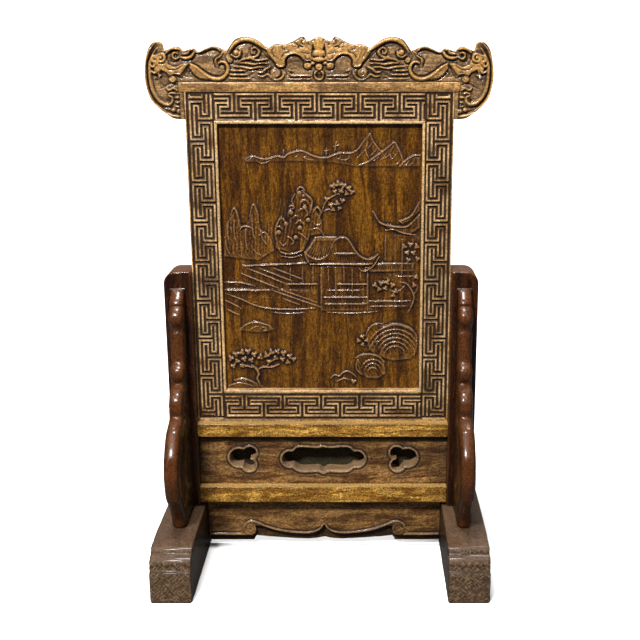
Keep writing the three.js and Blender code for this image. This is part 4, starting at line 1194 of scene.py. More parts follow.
crestDomes = [
    # middle, radii, top, turn
    ((0, 508.2), (5.3, 7.2), 3.9, 0), ((0, 499.6), (6.0, 3.9), 3.9, 0), ((0, 494.2), (6.0, 2.5), 4.0, 0),
    ((0, 487.4), (3.3, 3.1), 3.9, 0), ((10.4, 488.5), (3.7, 3.0), 3.7, 0), ((5.6, 491.0), (2.0, 1.8), 3.7, 0),
    ((6.6, 509.6), (2.3, 2.2), 3.8, 0), ((13.0, 510.0), (2.1, 2.0), 3.8, 0),
    ((22.7, 506.8), (2.6, 2.4), 3.8, 0), ((30.0, 505.6), (2.7, 2.3), 3.8, 0),
    ((19, 501.8), (4.0, 2.0), 3.6, -12), ((11.4, 502.8), (3.4, 2.3), 3.6, 20),
    ((9.6, 496.4), (2.6, 2.2), 3.6, 0), ((40.0, 482.2), (4.6, 4.4), 3.1, 0),
    ((75.6, 500.3), (2.6, 2.6), 3.9, 0), ((81.6, 493.6), (2.6, 2.5), 3.3, 0),
    ((135.0, 476.4), (3.4, 3.3), 3.6, 0), ((130, 447.4), (2.6, 2.0), 3.3, 0),
    ((135.2, 448.6), (2.1, 1.8), 3.2, 0), ((144.8, 495.8), (1.6, 1.5), 3.9, 0),
]
crestCuts = [
    # width, depth, points
    (1.4, 2.4, [(78.8, 501.6), (75, 506.4), (68, 508.8), (60.6, 507.6), (53.6, 502.6), (47.4, 496.6),
                (41.4, 491.2), (37.8, 486.5), (31.4, 486.8), (29.8, 489.4), (30, 493.4), (27, 497),
                (22.3, 498), (17.7, 495.8), (14.6, 492), (13.9, 486.4), (9.2, 484.5), (5.4, 484.8)]),
    (1.0, 1.6, [(5.2, 505.6), (6.1, 501.4), (6.4, 497.2), (3.6, 496.5), (0, 497.1)]),
    (0.9, 1.5, [(6.6, 493.6), (3.4, 491.6), (0, 491.0)]),
    (0.9, 1.4, [(6.8, 489.4), (4.2, 488.4), (3.6, 485.4)]),
    (2.0, 2.4, [(-2.2, 480.7), (0, 480.0), (2.2, 480.7)]), (1.0, 1.4, [(4.9, 484), (5.6, 480), (4.4, 476.4)]),
    (0.9, 1.3, [(24.6, 508.6), (20.6, 508.4), (18.4, 506)]),
    (0.9, 1.3, [(33, 507), (33.2, 503.8), (29.8, 502.8)]),
    (1.0, 1.5, [(9.4, 511), (9.9, 508.4), (8.2, 506.9)]),
    (1.0, 1.4, [(15.4, 511.4), (15.9, 508.6), (13.4, 507.2)]),
    (1.9, 1.4, [(14.2, 505.2), (17.4, 506), (19, 504.4)]),
    (0.9, 1.1, [(8, 499.4), (13, 499.8), (16.4, 500.8)]),
    (0.9, 1.2, [(26.4, 503), (28, 500.6), (32, 499.4), (34.6, 495)]),
    (0.9, 1.0, [(41, 504.8), (43, 501), (40, 496)]), (0.9, 1.2, [(7.4, 494.4), (11.8, 494.4), (12.8, 497.4)]),
    (1.5, 2.4, [(147.2, 507), (152.3, 500.4), (157.2, 491), (157.8, 479), (156.6, 468), (152.8, 459.4),
                (147, 453.2), (141, 450.8), (135.6, 451.6)]),
    (2.6, 2.6, [(139.4, 458.6), (141.4, 456.8)]), (1.2, 1.6, [(129, 445), (136, 446.2), (143, 449.6)]),
    (1.3, 2.0, [(128, 473), (132, 471.6), (135.6, 473.0), (140, 471.8), (143.6, 469.6), (147.6, 467.8)]),
    (1.1, 1.5, [(129.6, 457.7), (133.8, 457.7)]), (1.1, 1.5, [(129.6, 453.6), (133.6, 453.8)]),
    (1.1, 1.5, [(129.6, 462.3), (132.6, 462)]), (1.0, 1.4, [(133.6, 466.2), (136.4, 466), (139, 464.6)]),
    (1.2, 2.0, [(113, 499), (115.4, 495.2), (121, 493.4), (127, 493.9)]),
    (1.2, 1.8, [(116.4, 501), (118.6, 498.2), (122.6, 497.4), (127, 497.6)]),
    (1.3, 2.0, [(127, 495.4), (130.4, 492.7), (134.6, 492.3), (136.6, 495.6)]),
    (1.0, 1.5, [(130.4, 498), (132.2, 497)]), (1.0, 1.5, [(130, 502.0), (135, 501.6), (138.6, 498.4)]),
    (1.1, 1.6, [(140.2, 500.4), (139.4, 495.4), (141.8, 491.2), (147, 490.8)]),
    (1.0, 1.5, [(143.4, 497.6), (142.9, 495.2), (144.4, 493.9), (146.4, 494.4)]),
    (1.0, 1.5, [(149.6, 495), (151, 493.8)]), (1.0, 1.5, [(148.8, 489.6), (152.4, 485.4), (155.2, 486.8)]),
    (1.1, 1.6, [(147.2, 483.4), (150.4, 480), (153.6, 481.2)]), (2.0, 2.4, [(148.6, 476.4), (150.6, 475.8)]),
    (3.2, 2.4, [(119.9, 484), (120.4, 480)]), (1.8, 2.2, [(116.6, 478.8), (124, 479)]),
    (1.2, 2.0, [(99, 475.0), (107, 475.3), (113.2, 478), (117.2, 482.2), (119.8, 487)]),
    (1.2, 2.0, [(120.4, 487.4), (122.8, 482), (126.4, 477.8), (130.6, 479)]),
    (1.0, 1.4, [(125, 489), (131, 485.4), (137, 485), (141, 487.6)]),
    (0.9, 1.1, [(128, 482.4), (133, 482.6)]),
    (1.7, 2.4, [(86.7, 484.4), (86.6, 488.2), (89.2, 489.8), (91.8, 488.4), (92.6, 485.4)]),
    (1.0, 1.6, [(117, 492), (110, 487.9), (103.6, 482.9), (97.6, 479.9), (91.6, 479.6), (87.4, 482)]),
    (1.4, 2.2, [(89.6, 498.2), (92.2, 501.4), (97.4, 502.6), (104, 500.8), (109, 499.2), (113, 499)]),
    (1.2, 2.0, [(89.6, 498.8), (93.4, 496.6), (96.6, 493.8), (96.2, 489.6), (93.8, 486.2)]),
    (1.3, 2.0, [(70.6, 502.4), (70.4, 498.0), (73, 494.9), (77.6, 494.1), (81.4, 497)]),
    (1.1, 1.8, [(78.6, 493.6), (79.4, 490.9), (82.6, 490.4), (84.6, 493)]),
    (1.0, 1.6, [(84.4, 500), (86, 496), (84.4, 493.6)]),
    (1.2, 1.8, [(62.6, 504.8), (58.8, 506.4), (53.4, 503.2), (53.4, 498.2), (58.6, 494.8)]),
    (1.0, 1.6, [(60.2, 501.4), (58, 502.6), (57.1, 499.4)]),
    (1.1, 1.9, [(45.6, 492.7), (52, 492.2), (58, 491.8), (64, 492.9), (72, 492.9)]),
    (1.1, 1.9, [(46.6, 488.9), (54, 489.3), (61, 488.1), (68, 489.2), (79, 489.8)]),
    (1.2, 1.8, [(52, 485.4), (60, 485), (66, 484.4), (67.4, 482.6), (82, 482.7)]),
    (1.1, 1.7, [(58, 483.4), (64, 480), (66, 478.9), (83, 479)]), (1.4, 1.6, [(58.6, 477.2), (62.6, 478)]),
    (1.1, 1.9, [(36, 486.8), (34.8, 482), (36.8, 478.4), (41, 477.2), (45.4, 480.4), (45.2, 484.4),
                (42.6, 487.4)]),
    (1.0, 1.6, [(47, 483.4), (50.4, 481), (55.6, 481.6)]),
    (1.1, 1.5, [(33.6, 485), (30.6, 484.4), (29.6, 479.4)]),
    (0.9, 1.2, [(6.6, 478.2), (17, 478.3), (28.4, 478.2)]),
    (1.0, 1.4, [(22.8, 481.8), (26.6, 482.2), (27.6, 480.8)]),
]
crestCoils = [
    # middle, radius, start, turns
    ((30.0, 505.6), 1.7, 30, 1.2), ((22.7, 506.8), 1.6, 200, 1.1), ((135, 476.4), 2.2, 0, 1.0),
    ((40, 482.2), 2.9, 45, 1.2), ((81.6, 493.6), 1.4, 100, 1.0), ((10.4, 488.5), 1.8, 240, 1.0),
    ((13, 510), 1.2, 0, 1.0), ((6.6, 509.6), 1.3, 90, 1.0), ((0, 487.4), 1.7, 90, 1.0),
]


def carveCrest():
    field = makeField((-163, 438), (163, 517), 0.4)
    xs, zs = np.meshgrid(field["x"], field["z"])
    field["h"] = 0.9 + 0.2 * waviness(xs, zs, 51, 11)
    for turn in bothHalves:
        for top, edge, points in crestPlateaus:
            plateau(field, turn(points), top, edge)
        for width, top, points in sorted(crestRidges, key=lambda item: item[1] - item[0] * 0.02):
            rise = min(1.5, 0.5 * width)
            ridge(field, turn(points), width * 1.08, rise, top - rise)
        for middle, radii, top, angle in crestDomes:
            rise = min(1.8, 0.7 * min(radii))
            flip = turn([middle])[0]
            dome(field, flip, radii, rise, top - rise, angle if flip == middle else -angle)
        for width, depth, points in crestCuts:
            groove(field, turn(points), width, depth)
        for middle, radius, start, turns in crestCoils:
            coil = [tuple(point) for point in spiralPath(middle, radius, start, turns)]
            groove(field, turn(coil), 0.9, 1.2)
        groove(field, turn([(129.4, 441), (129.4, 452), (129.4, 464)]), 1.2, 1.6, ends=0.02)
    plain = (np.abs(xs) < 129) & (zs < 466)
    field["h"] = np.where(plain, 1.6, np.clip(field["h"], 0.0, 4.0))
    field["h"] += 0.12 * waviness(xs, zs, 52, 5) - 0.1
    finishField(field, 1.5, 0.85)
    field["wearAndHighlight"] = np.maximum(0.45 * field["wearAndHighlight"], 0.75 * np.clip((field["h"] - 2.3) / 1.1, 0, 1))
    field["wearAndHighlight"] *= 1 - field["grimeAndShadeMask"]
    return field


half = smoothPath(crestTop, 1.1)[:-1]
room = [(-125.3, 440.1), (-125.3, 464.7), (-130.3, 464.7), (-130.3, 474.3), (130.3, 474.3), (130.3, 464.7),
        (125.3, 464.7), (125.3, 440.1)]
steps = [np.array(a) + (np.array(b) - np.array(a)) * share
         for a, b in zip(room[:-1], room[1:])
         for share in np.linspace(0, 1, max(2, int(math.dist(a, b) / 1.4)), endpoint=False)]
outline = np.vstack([half, [crestTop[-1]], half[::-1] * (-1, 1), steps])
nostrils = [np.array([(side * (148.5 + 1.0 * math.cos(a)), 479 + 1.5 * math.sin(a))
                      for a in np.linspace(0, 2 * math.pi, 12, endpoint=False)]) for side in (-1, 1)]
crestBoard = carvedBoard("crest_carved", outline, nostrils, 10, frontPlace(-2.5), (0.45, 4.0),
                         (carveCrest(), None), 0.7)
dress(crestBoard, "crest", "crest", alongX)
print("crest made")

# Landscape: a lakeside pavilion among rocks and pines under far hills, in low relief

panelShift = 0.0052


def onPanel(points):
    # the readings lie on the frame's front plane: this moves them to the panel, seen from the camera's place
    eyeX, _, eyeZ = camera["place"]
    return [(eyeX + (x - eyeX) * (1 + panelShift), z - panelShift * (eyeZ - z)) for x, z in points]


landscapeForms = [
    # top, edge, points
    (0.9, 2.5, [(-72, 400), (-71, 403), (-64, 406), (-52, 403.5), (-40, 406), (-30, 408), (-20, 411),
                (-14, 410), (-5, 406), (5, 404.5), (18, 409), (28, 409), (35, 412), (41, 420), (47, 427),
                (52, 418), (58, 410), (70, 418), (76, 414), (80, 402), (88, 406), (95, 406), (95, 396),
                (33, 396), (10, 400), (-30, 401)]),
    (1.6, 2.0, [(-44, 318), (-43, 336), (-38, 349), (-31, 344), (-30, 357), (-25, 366), (-21, 376),
                (-14, 373), (-9, 366), (-8, 358), (-4, 357), (2, 345), (2, 332), (-10, 330), (-16, 316),
                (-28, 313)]),
    (1.2, 2.0, [(-94, 310), (-92, 340), (-85, 352), (-81, 357), (-77, 346), (-74, 336), (-69, 346),
                (-64, 361), (-59, 352), (-58, 338), (-48, 330), (-44, 316), (-60, 306)]),
    (1.9, 1.0, [(-16, 315), (-8, 309), (0, 309), (8, 314), (12, 322), (16, 328), (22, 329.5), (27, 326),
                (31, 320), (36, 312), (44, 308), (55, 312), (50, 303), (38, 300), (10, 303), (-14, 305)]),
    (2.1, 1.0, [(-6, 330), (16, 330), (13, 322), (9, 315), (5, 310.5), (0, 308), (-5, 307.5), (-12, 311),
                (-16, 315.4), (-11, 321)]),
    (1.8, 1.0, [(40, 296), (46, 298), (54, 303.6), (90, 304), (90, 295.6), (50, 295)]),
    (0.8, 1.4, [(0, 301), (46, 300), (46, 256), (0, 256)]),
    (1.5, 1.2, [(50, 354), (56, 345), (66, 340), (78, 339), (86, 342), (95, 352), (95, 338), (86, 332),
                (70, 335), (56, 342)]),
    (1.5, 1.2, [(75, 345), (84, 348), (94, 363), (95, 355), (86, 345), (78, 342)]),
    (0.7, 1.4, [(70, 332), (95, 330), (95, 266), (70, 266)]),
    (0.5, 2.0, [(-94, 280), (-50, 279), (-3, 277), (-3, 259), (-50, 258.5), (-66, 262), (-78, 268),
                (-94, 274)]),
    (0.6, 2.0, [(2, 268), (88, 266), (90, 260), (60, 256), (2, 256)]),
    (1.3, 2.0, [(43, 229), (46, 238), (52, 243), (63, 242), (80, 242), (93, 232), (94, 214), (88, 207),
                (70, 205), (56, 209), (46, 216)]),
    (1.6, 1.6, [(33, 206), (38, 212), (50, 212.5), (62, 205), (63, 192), (56, 187), (44, 187), (36, 194)]),
    (1.0, 1.6, [(-82, 236), (-76, 242), (-64, 245.5), (-50, 242), (-46, 237), (-60, 234)]),
    (1.0, 1.6, [(-90, 178), (-86, 186), (-72, 185), (-62, 182), (-58, 178)]),
]
landscapeRidges = [
    # width, top, points
    (2.2, 1.8, [(-71, 403), (-64, 406), (-52, 403.5), (-40, 406), (-34, 405), (-30, 408), (-20, 411),
                (-14, 410), (-5, 406), (5, 404.5), (18, 409), (28, 409), (35, 412), (41, 420), (47, 427)]),
    (1.8, 1.7, [(47, 427), (50, 420), (55, 413), (60, 408)]), (1.8, 1.6, [(45, 420), (43, 411), (46, 404)]),
    (2.0, 1.7, [(35, 397), (45, 401), (58, 410), (66, 416), (70, 419), (74, 412), (78, 402)]),
    (1.8, 1.7, [(70, 418), (66, 409), (68, 401)]), (1.8, 1.6, [(75, 396), (79, 401), (88, 406.5), (95, 407)]),
    (1.4, 1.3, [(-60, 402), (-54, 399.6), (-46, 402)]), (1.4, 1.3, [(-18, 407), (-12, 403.4), (-4, 402.6)]),
    (1.4, 1.3, [(14, 405), (22, 402.6), (30, 405)]), (1.6, 1.6, [(-34, 407), (-34, 412)]),
    (1.6, 1.6, [(6, 406), (6, 413.5)]), (1.8, 1.7, [(14, 410), (15.4, 419.5)]),
    (1.4, 1.5, [(12.6, 415), (18, 416.6)]), (1.4, 1.5, [(4, 411), (8.4, 411.6)]),
    # rock column with its trees
    (2.0, 2.4, [(-23, 372.4), (-20, 376.6), (-17, 376.6), (-14, 372.6)]),
    (2.2, 2.5, [(-14, 371), (-9, 366), (-8, 361), (-10, 352)]),
    (1.8, 2.3, [(-24, 371), (-27, 364), (-25, 357.5), (-30, 355), (-31, 348)]),
    (2.2, 2.6, [(-37, 349.5), (-40, 345), (-43, 337), (-43, 326)]),
    (2.0, 2.4, [(-36, 348), (-33, 341), (-34, 333)]), (1.8, 2.4, [(-30, 358), (-27.4, 360), (-24.4, 357.4)]),
    (1.8, 2.3, [(-44, 337), (-40, 340), (-36, 336.6)]),
    (1.8, 2.3, [(-24, 342), (-20, 345.4), (-15.4, 341.4)]),
    (1.8, 2.2, [(-19.6, 362), (-15, 365.4), (-10.6, 361.6)]),
    (1.6, 2.2, [(-22, 354), (-16, 357), (-12, 352), (-16, 347)]),
    (1.6, 2.1, [(-27, 347), (-24, 350), (-20, 349)]),
    (2.0, 2.4, [(-7, 353), (-3.4, 358), (0, 354), (-1, 347)]),
    (1.6, 2.1, [(-10, 336), (-5, 338), (0, 336), (3, 330)]),
    (1.8, 2.1, [(-33, 330), (-29, 328.6), (-26, 324.6), (-29, 322)]),
    (1.6, 2.0, [(-22, 334), (-17, 331), (-12, 326)]), (1.6, 2.0, [(-40, 325), (-36, 321), (-33, 324)]),
    (1.6, 2.0, [(-8, 345), (-4, 341), (1, 343)]),
    (1.8, 2.2, [(-41, 319), (-38, 314.6), (-28, 313), (-17, 316.4)]),
    (1.4, 1.8, [(-40, 311), (-28, 309.6), (-18, 312)]),
    # branch and its foliage
    (1.6, 1.7, [(0, 349), (4, 361), (8, 366), (15, 370), (22, 372)]),
    (1.3, 1.5, [(6, 364), (12, 361), (18, 362)]), (1.2, 1.4, [(2, 354), (8, 356), (14, 355)]),
    # left spires
    (2.2, 2.0, [(-86, 350), (-82, 357), (-78.6, 349), (-77.6, 338)]),
    (1.8, 1.9, [(-68, 348), (-64, 360.6), (-60, 352), (-59, 341)]),
    (1.6, 1.8, [(-88, 346), (-89, 333), (-87, 321)]), (1.6, 1.8, [(-82, 350), (-83, 336), (-81, 323)]),
    (1.6, 1.8, [(-72, 338), (-72, 326), (-70, 316)]), (1.6, 1.8, [(-65, 352), (-65.4, 338), (-63, 326)]),
    (1.6, 1.7, [(-58, 338), (-56, 328), (-50, 320)]),
    (1.8, 1.8, [(-78.6, 335), (-74, 339.6), (-68, 339), (-64, 336.6)]),
    (1.6, 1.6, [(-92, 330), (-90, 318), (-86, 310)]), (1.6, 1.6, [(-77, 328), (-76, 316), (-78, 308)]),
    (1.5, 1.6, [(-68, 322), (-62, 314), (-55, 311)]), (1.5, 1.6, [(-60, 330), (-54, 334), (-50, 330)]),
    # main pavilion
    (2.0, 2.7, [(-16, 315.4), (-12, 311), (-5, 307.8), (0, 308.2), (5, 310.8), (9, 315)]),
    (2.0, 2.8, [(9, 315), (11, 321), (14, 326), (18, 328.8), (22, 329.2), (26, 327), (30, 321), (34, 314.6),
                (38, 310.6), (43, 308), (48, 308), (55, 312.4)]),
    (1.8, 2.5, [(12, 313.5), (34, 313.5)]), (2.2, 2.6, [(-11, 303), (20, 303), (50, 303)]),
    (2.0, 2.6, [(36, 299.4), (41, 296), (50, 301), (56, 310)]),
    (1.8, 2.5, [(-16, 315), (-14, 308), (-11, 303)]), (1.8, 1.8, [(0, 300), (0, 256)]),
    (1.6, 1.8, [(14, 300), (14, 270)]), (1.6, 1.8, [(30, 300), (30, 270)]),
    (1.8, 1.8, [(45, 300), (45, 256)]), (1.4, 1.6, [(7, 300), (7, 284)]), (1.4, 1.6, [(22, 300), (22, 284)]),
    (1.4, 1.6, [(38, 298), (38, 284)]), (1.7, 1.9, [(14, 283), (45, 283)]),
    (1.7, 1.9, [(-34, 283), (-3, 283)]), (1.8, 1.9, [(2, 270), (45, 270)]),
    (1.8, 1.9, [(2, 263.5), (46, 263.5)]), (1.4, 1.6, [(0, 277), (44, 277)]),
    # covered bridge and banks on the left
    (1.8, 1.9, [(-76, 301), (-40, 302.6), (-12, 304)]), (1.5, 1.6, [(-72, 299), (-50, 290), (-34, 283)]),
    (1.5, 1.6, [(-78, 294), (-58, 285.6), (-42, 279)]), (1.4, 1.5, [(-60, 299), (-42, 291.6), (-28, 286)]),
    (1.4, 1.5, [(-46, 299), (-30, 292.6), (-16, 287)]), (2.0, 2.0, [(-94, 277.4), (-72, 277), (-50, 277)]),
    (1.5, 1.6, [(-94, 285), (-78, 284.4), (-64, 281)]), (1.6, 1.6, [(-48, 277), (-24, 268.4), (0, 259.8)]),
    (1.4, 1.5, [(-38, 277), (-20, 270.6), (-3, 264)]), (1.4, 1.5, [(-38, 269), (-28, 265), (-20, 262)]),
    (1.6, 1.5, [(-94, 274), (-78, 268), (-65, 262), (-50, 258.6), (-28, 258), (-5, 259)]),
    (1.5, 1.4, [(-94, 267), (-84, 262), (-78, 258)]), (1.5, 1.3, [(-92, 258), (-86, 254.6), (-80, 252)]),
    (1.3, 1.2, [(-50, 255), (-34, 253.6), (-16, 254.6)]), (1.3, 1.5, [(-30, 300), (-30, 287)]),
    (1.3, 1.5, [(-18, 301), (-18, 284)]), (1.3, 1.5, [(-8, 301), (-8, 284)]),
    (1.7, 1.6, [(45, 266), (66, 266), (88, 266.4)]), (1.5, 1.5, [(45, 261), (64, 261), (83, 261.4)]),
    (1.3, 1.3, [(4, 255), (30, 254), (58, 256)]),
    # pavilion at the right edge
    (2.0, 2.5, [(50, 354), (55, 345), (60, 341.6), (70, 339.6), (78, 339), (84, 340.6), (94, 350.6)]),
    (1.8, 2.6, [(75, 344.6), (86, 349.6), (94, 362.6)]), (1.6, 2.3, [(75, 345), (79, 342)]),
    (1.7, 2.2, [(62, 335.6), (70, 336.8), (78, 333.4), (92, 331)]),
    (1.6, 1.7, [(78, 328), (78, 300), (77, 286)]), (1.5, 1.6, [(88, 328), (88, 322)]),
    (1.7, 1.8, [(55, 303.6), (90, 303.6)]), (1.5, 1.6, [(62, 331), (62, 306)]),
    (1.4, 1.5, [(70, 297), (92, 297)]), (1.4, 1.5, [(70, 291), (92, 291)]),
    (1.3, 1.4, [(84, 300), (84, 286)]),
    # tree at the right
    (2.0, 1.9, [(76, 285), (82, 284), (87, 278), (90, 270), (88, 262), (84, 254)]),
    (1.4, 1.6, [(82, 283), (76, 277), (68, 276)]), (1.3, 1.5, [(88, 272), (92, 276), (94, 283)]),
    # boulders
    (2.0, 2.1, [(43, 230), (46, 238), (52, 243), (60, 243.4)]),
    (2.0, 2.1, [(61, 240), (70, 243.4), (80, 242), (88, 238), (93, 231)]),
    (1.6, 1.8, [(46, 217), (50, 224), (56, 226)]), (1.6, 1.8, [(88, 222), (91, 216), (91, 209)]),
    (2.0, 2.3, [(33, 208), (38, 211.4), (48, 212.4), (56, 209.6), (62, 204)]),
    (1.7, 1.9, [(34, 205), (34, 197), (40, 190)]),
    # clouds and small rocks
    (1.8, 1.6, [(8, 187), (12, 190.6), (17, 189.6), (20, 193), (25, 194.6), (30, 192), (34, 188)]),
    (1.5, 1.4, [(14, 184), (22, 187), (28, 185)]),
    (1.8, 1.7, [(-80, 238), (-74, 242.6), (-65, 245), (-56, 243), (-50, 241)]),
    (1.5, 1.5, [(-72, 236), (-66, 240), (-60, 240.6)]), (1.5, 1.5, [(-62, 236), (-58, 240), (-53, 239)]),
    # pine at the lower left
    (3.0, 2.4, [(-62, 181), (-64.4, 187), (-63, 192), (-66, 198), (-70, 201)]),
    (1.8, 2.0, [(-65, 196), (-58, 199), (-50, 199), (-42, 202)]),
    (1.8, 2.0, [(-66, 198), (-74, 200), (-82, 202)]), (1.5, 1.8, [(-56, 199), (-50, 205), (-44, 208)]),
    (1.8, 1.9, [(-88, 185), (-80, 187), (-72, 185), (-66, 181.6)]),
    (1.5, 1.6, [(-94, 179), (-84, 182.4), (-74, 181), (-68, 178.4)]),
]
foliage = [
    # middle, radius: tufts of leaves, each a small lobed boss
    (12, 378, 3.0), (17, 380, 3.2), (22, 378.6, 3.0), (27, 376, 2.8), (30, 372.4, 2.6), (20, 373.6, 2.8),
    (14, 373, 2.4), (25, 371, 2.4), (6, 365.6, 2.4), (10, 360, 2.6), (16, 361.6, 2.6), (21, 364, 2.4),
    (12, 355.6, 2.2), (18, 357, 2.2), (-28, 353, 1.7), (-40, 334, 1.7), (-20, 370, 1.8), (-16, 369, 1.6),
    (-20, 339, 1.7), (-15, 360, 1.5), (-90, 208, 3.0), (-85, 212, 3.2), (-79, 214, 3.2), (-73, 215, 3.2),
    (-67, 212, 3.0), (-61, 209, 3.0), (-55, 211, 3.0), (-50, 214, 3.2), (-44, 215, 3.0), (-38, 213, 3.0),
    (-32, 210, 2.8), (-28, 207, 2.6), (-84, 205, 2.8), (-77, 207, 2.8), (-70, 206, 2.8), (-46, 208, 2.8),
    (-39, 207, 2.8), (-34, 204, 2.4), (-88, 200, 2.6), (-79, 200, 2.4), (-53, 204.6, 2.4), (52, 282, 2.6),
    (58, 284, 2.8), (64, 285, 2.8), (69, 282, 2.6), (56, 278, 2.4), (62, 279, 2.4), (72, 276, 2.4),
    (80, 320, 2.6), (86, 322, 2.8), (92, 320, 2.6), (83, 314, 2.6), (89, 314, 2.6), (93, 308, 2.4),
    (84, 307, 2.4), (36, 226, 2.2), (40, 230, 2.4), (44, 226.4, 2.2), (40, 222, 2.0), (31, 184, 2.6),
    (-55, 237, 2.2), (70, 272, 2.2), (92, 290, 2.4), (90, 282, 2.4),
]
hatches = [
    # box as low x, low z, high x, high z; slant in degrees; pitch; depth
    (-6, 326.4, 15, 329.6, 80, 1.8, 0.8), (14, 305, 34, 312.6, 90, 2.1, 0.7),
    (-10, 303.8, 14, 307.4, 82, 2.1, 0.7), (34, 303.8, 46, 309, 90, 2.1, 0.7),
    (50, 296.4, 88, 303, 86, 2.1, 0.8), (-90, 338, -82, 346, 20, 2.0, 0.6),
    (-38, 306, -16, 311, 60, 2.0, 0.6), (56, 340, 68, 345, 60, 1.8, 0.7), (40, 297, 54, 308, 50, 1.9, 0.6),
    (68, 336, 92, 340, 75, 1.9, 0.6), (80, 344, 92, 356, 45, 1.8, 0.6), (2, 257, 44, 262, 90, 3.4, 0.5),
    (-32, 277, -4, 282, 90, 2.8, 0.5), (14, 277.6, 44, 282, 90, 2.8, 0.5), (-92, 279, -52, 283, 85, 3.0, 0.4),
    (46, 212, 92, 240, 112, 3.2, 0.3), (-90, 312, -46, 344, 86, 3.0, 0.45),
    (-42, 318, -2, 368, 80, 3.2, 0.35), (36, 188, 62, 210, 118, 3.0, 0.35),
]
bosses = [(-28, 353), (-40, 334), (-20, 338.4), (-15, 358), (-33, 342), (-20, 371.6), (-12, 346), (-24, 329)]
roughPlaces = [
    # boxes with rough tooling between the raised lines, as low x, low z, high x, high z
    (-4, 257, 46, 300), (-90, 259, -4, 300), (46, 258, 92, 300), (-92, 306, -44, 352), (42, 205, 94, 242),
]
slopeStrokes = [
    # strokes on the far hills' slopes, as x, z and length
    (50, 421, 9), (54, 415, 9), (58, 411, 10), (44, 415, 8), (40, 411, 7), (68, 413, 10), (73, 411, 9),
    (63, 410, 8), (76, 404, 6), (84, 403, 6), (88, 402, 5), (-20, 409, 4), (-12, 408, 4), (20, 407, 4),
    (28, 407, 5),
]


def ringedRidges():
    # the boulders' strata, one arc inside another, and the strokes on the far hills' slopes
    rows = []
    for radius in (13, 17, 21, 25, 29, 33):
        arc = [(min(72 + 0.9 * radius * math.cos(a), 93.5), 207 + 1.06 * radius * math.sin(a))
               for a in np.radians(np.linspace(22, 158, 12))]
        rows.append((1.7, 1.9, arc))
    for radius in (5, 8.6, 12.2):
        rows.append((1.6, 2.2, [(50 + radius * math.cos(a), 193 + 1.15 * radius * math.sin(a))
                                for a in np.radians(np.linspace(15, 165, 9))]))
    for x, z, length in slopeStrokes:
        stroke = [(x, z), (x - 0.35 * length, z - 0.6 * length), (x - 0.9 * length, z - length)]
        rows.append((1.3, 1.4, stroke))
    return rows


def fadeIn(xs, zs, reach):
    # grows from none at the borders of a box to one inside it
    insideX = np.minimum(xs - xs.min(), xs.max() - xs)
    insideZ = np.minimum(zs - zs.min(), zs.max() - zs)
    return np.clip(np.minimum(insideX, insideZ) / reach, 0, 1)


def carveLandscape():
    field = makeField((-98, 173), (98, 438), 0.4)
    xs, zs = np.meshgrid(field["x"], field["z"])
    for top, edge, points in landscapeForms:
        plateau(field, onPanel(points), 0.8 * top, 0.6 * edge)
    for x0, z0, x1, z1, slant, pitch, depth in hatches:
        part, px, pz = nearPart(field, np.array(onPanel([(x0, z0), (x1, z1)])), 0)
        across = px * math.sin(math.radians(slant)) - pz * math.cos(math.radians(slant))
        wave = np.clip(np.cos(2 * math.pi * (across / pitch + 0.12 * waviness(px, pz, 61, 6))), 0, 1)
        field["h"][part] -= 1.5 * depth * wave * fadeIn(px, pz, 1.5)
    for width, top, points in landscapeRidges + ringedRidges():
        path = onPanel(points)
        middle = path[len(path) // 2]
        under = float(sampled(field, "h", np.array(middle[0]), np.array(middle[1])))
        groove(field, path, 0.8 * width + 1.5, 0.55)
        ridge(field, path, 0.8 * width, 0.9, max(top - 0.8, under - 0.1))
    for share in np.linspace(0.04, 0.96, 10):
        # ribs of the main roof fan out from its comb to its eave
        eave = (-14 + 23 * share, 313.4 - 12 * share * (1 - share) * 1.6)
        rib = onPanel([(-4.6 + 19 * share, 326), (-9 + 20.6 * share, 320), eave])
        groove(field, rib, 1.1, 1.1, ends=0.05)
    for middle in onPanel(bosses):
        around = [(middle[0] + 3.0 * math.cos(a), middle[1] + 3.0 * math.sin(a))
                  for a in np.linspace(-0.4, 3.4, 9)]
        dome(field, middle, (2.3, 2.3), 1.2, 1.5)
        groove(field, around, 1.7, 1.0, ends=0.25)
    draw = np.random.default_rng(71)
    for x0, z0, x1, z1 in roughPlaces:
        part, px, pz = nearPart(field, np.array(onPanel([(x0, z0), (x1, z1)])), 0)
        field["h"][part] += 0.42 * fadeIn(px, pz, 5) * softened(draw.normal(0, 1, px.shape), 1, 1)
    for x, z, radius in foliage:
        x, z = onPanel([(x, z)])[0]
        groove(field, [(x - radius * 0.5, z), (x, z), (x + radius * 0.5, z)], radius * 2.5, 0.5)
        first = draw.uniform(0, 2)
        for lobe in range(3):
            turn = first + lobe * 2.1
            dome(field, (x + 0.5 * radius * math.cos(turn), z + 0.5 * radius * math.sin(turn)),
                 (0.62 * radius, 0.5 * radius), 1.3, 0.9, math.degrees(turn))
    field["h"] = np.clip(field["h"], -0.9, 2.7) + 0.10 * waviness(xs, zs / 6, 62, 5) - 0.1
    finishField(field, 2.0, 0.75)
    return field


landscape = carvedBoard("landscape_carved", rectangle((-95.7, 95.7), (175.6, 435.7), 2), [], 10,
                        frontPlace(1), (0.55, 6.0), (carveLandscape(), None), 0.4)
dress(landscape, "landscape_panel", "panel", alongZ)
print("landscape made")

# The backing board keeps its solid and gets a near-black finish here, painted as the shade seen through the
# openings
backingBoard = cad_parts["backing_board"]
backingBoard.data.materials.clear()
backingBoard.data.materials.append(woodMaterial("nearBlackShade", alongX))

# Pale floor, soft studio light


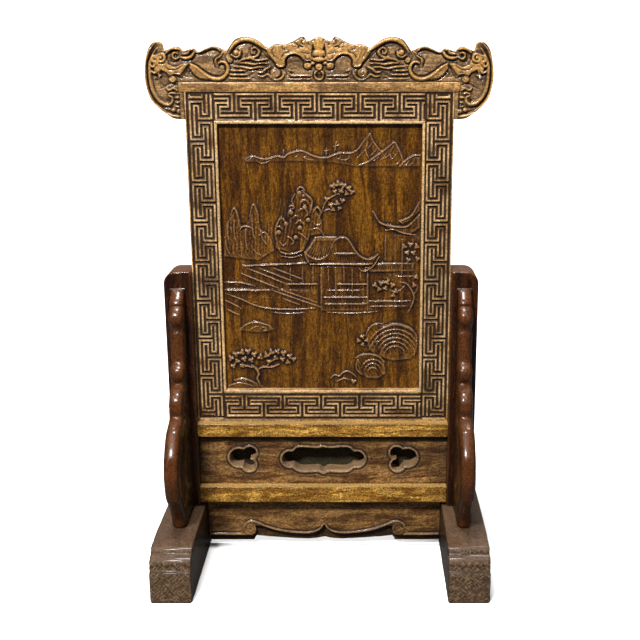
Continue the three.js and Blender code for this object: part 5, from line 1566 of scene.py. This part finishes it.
def plainMaterial(name, colour, bounce, rough):
    # the camera sees the pale colour, and what it throws back on the object is kept low
    material = bpy.data.materials.new(name)
    material.use_nodes = True
    tree = material.node_tree
    shader = tree.nodes["Principled BSDF"]
    seen = tree.nodes.new("ShaderNodeLightPath").outputs["Is Camera Ray"]
    tree.links.new(addMix(tree, seen, bounce, colour), shader.inputs["Base Color"])
    shader.inputs["Roughness"].default_value = rough
    shader.inputs["Specular IOR Level"].default_value = 0.0
    return material


sweepStart, sweepRadius = 1.4, 1.2
sweep = [(-4.0, 0.0), (sweepStart, 0.0)]
sweep += [(sweepStart + sweepRadius * math.sin(a), sweepRadius - sweepRadius * math.cos(a))
          for a in np.linspace(0, math.pi / 2, 16)[1:]]
sweep += [(sweepStart + sweepRadius, 5.0)]
floorMesh = bpy.data.meshes.new("floor")
floorMesh.from_pydata([(x, y, z) for y, z in sweep for x in (-6, 6)], [],
                      [(2 * i, 2 * i + 1, 2 * i + 3, 2 * i + 2) for i in range(len(sweep) - 1)])
floorMesh.polygons.foreach_set("use_smooth", np.ones(len(floorMesh.polygons), bool))
floor = bpy.data.objects.new("floor", floorMesh)
bpy.context.scene.collection.objects.link(floor)
floorMesh.materials.append(plainMaterial("paleFloor", (0.90, 0.90, 0.89, 1), (0.09, 0.085, 0.08, 1), 0.9))

world = bpy.data.worlds.new("studio")
world.use_nodes = True
world.node_tree.nodes["Background"].inputs["Color"].default_value = (1.0, 0.99, 0.97, 1)
world.node_tree.nodes["Background"].inputs["Strength"].default_value = 0.13
bpy.context.scene.world = world

studioLights = {
    "key": {"place": (-0.45, -1.30, 1.50), "aim": (0, 0, 0.25), "size": (0.30, 0.20), "power": 58.0},
    "top": {"place": (-0.12, -0.42, 1.85), "aim": (0, 0, 0.30), "size": (0.40, 0.24), "power": 38.0},
    "fill": {"place": (1.5, -1.7, 1.0), "aim": (0, 0, 0.25), "size": (1.2, 1.2), "power": 2.0},
    "back": {"place": (0.2, 1.0, 2.2), "aim": (0, 2.2, 0.6), "size": (1.6, 0.8), "power": 110.0},
}
for name, spec in studioLights.items():
    data = bpy.data.lights.new(name, "AREA")
    data.shape = "RECTANGLE"
    data.size, data.size_y = spec["size"]
    data.energy = spec["power"]
    lamp = bpy.data.objects.new(name, data)
    lamp.location = spec["place"]
    aim = Vector(spec["aim"]) - Vector(spec["place"])
    lamp.rotation_euler = aim.to_track_quat("-Z", "Y").to_euler()
    bpy.context.scene.collection.objects.link(lamp)

bpy.context.scene.view_settings.view_transform = "Standard"
bpy.context.scene.view_settings.look = "None"
print("floor and lights made")
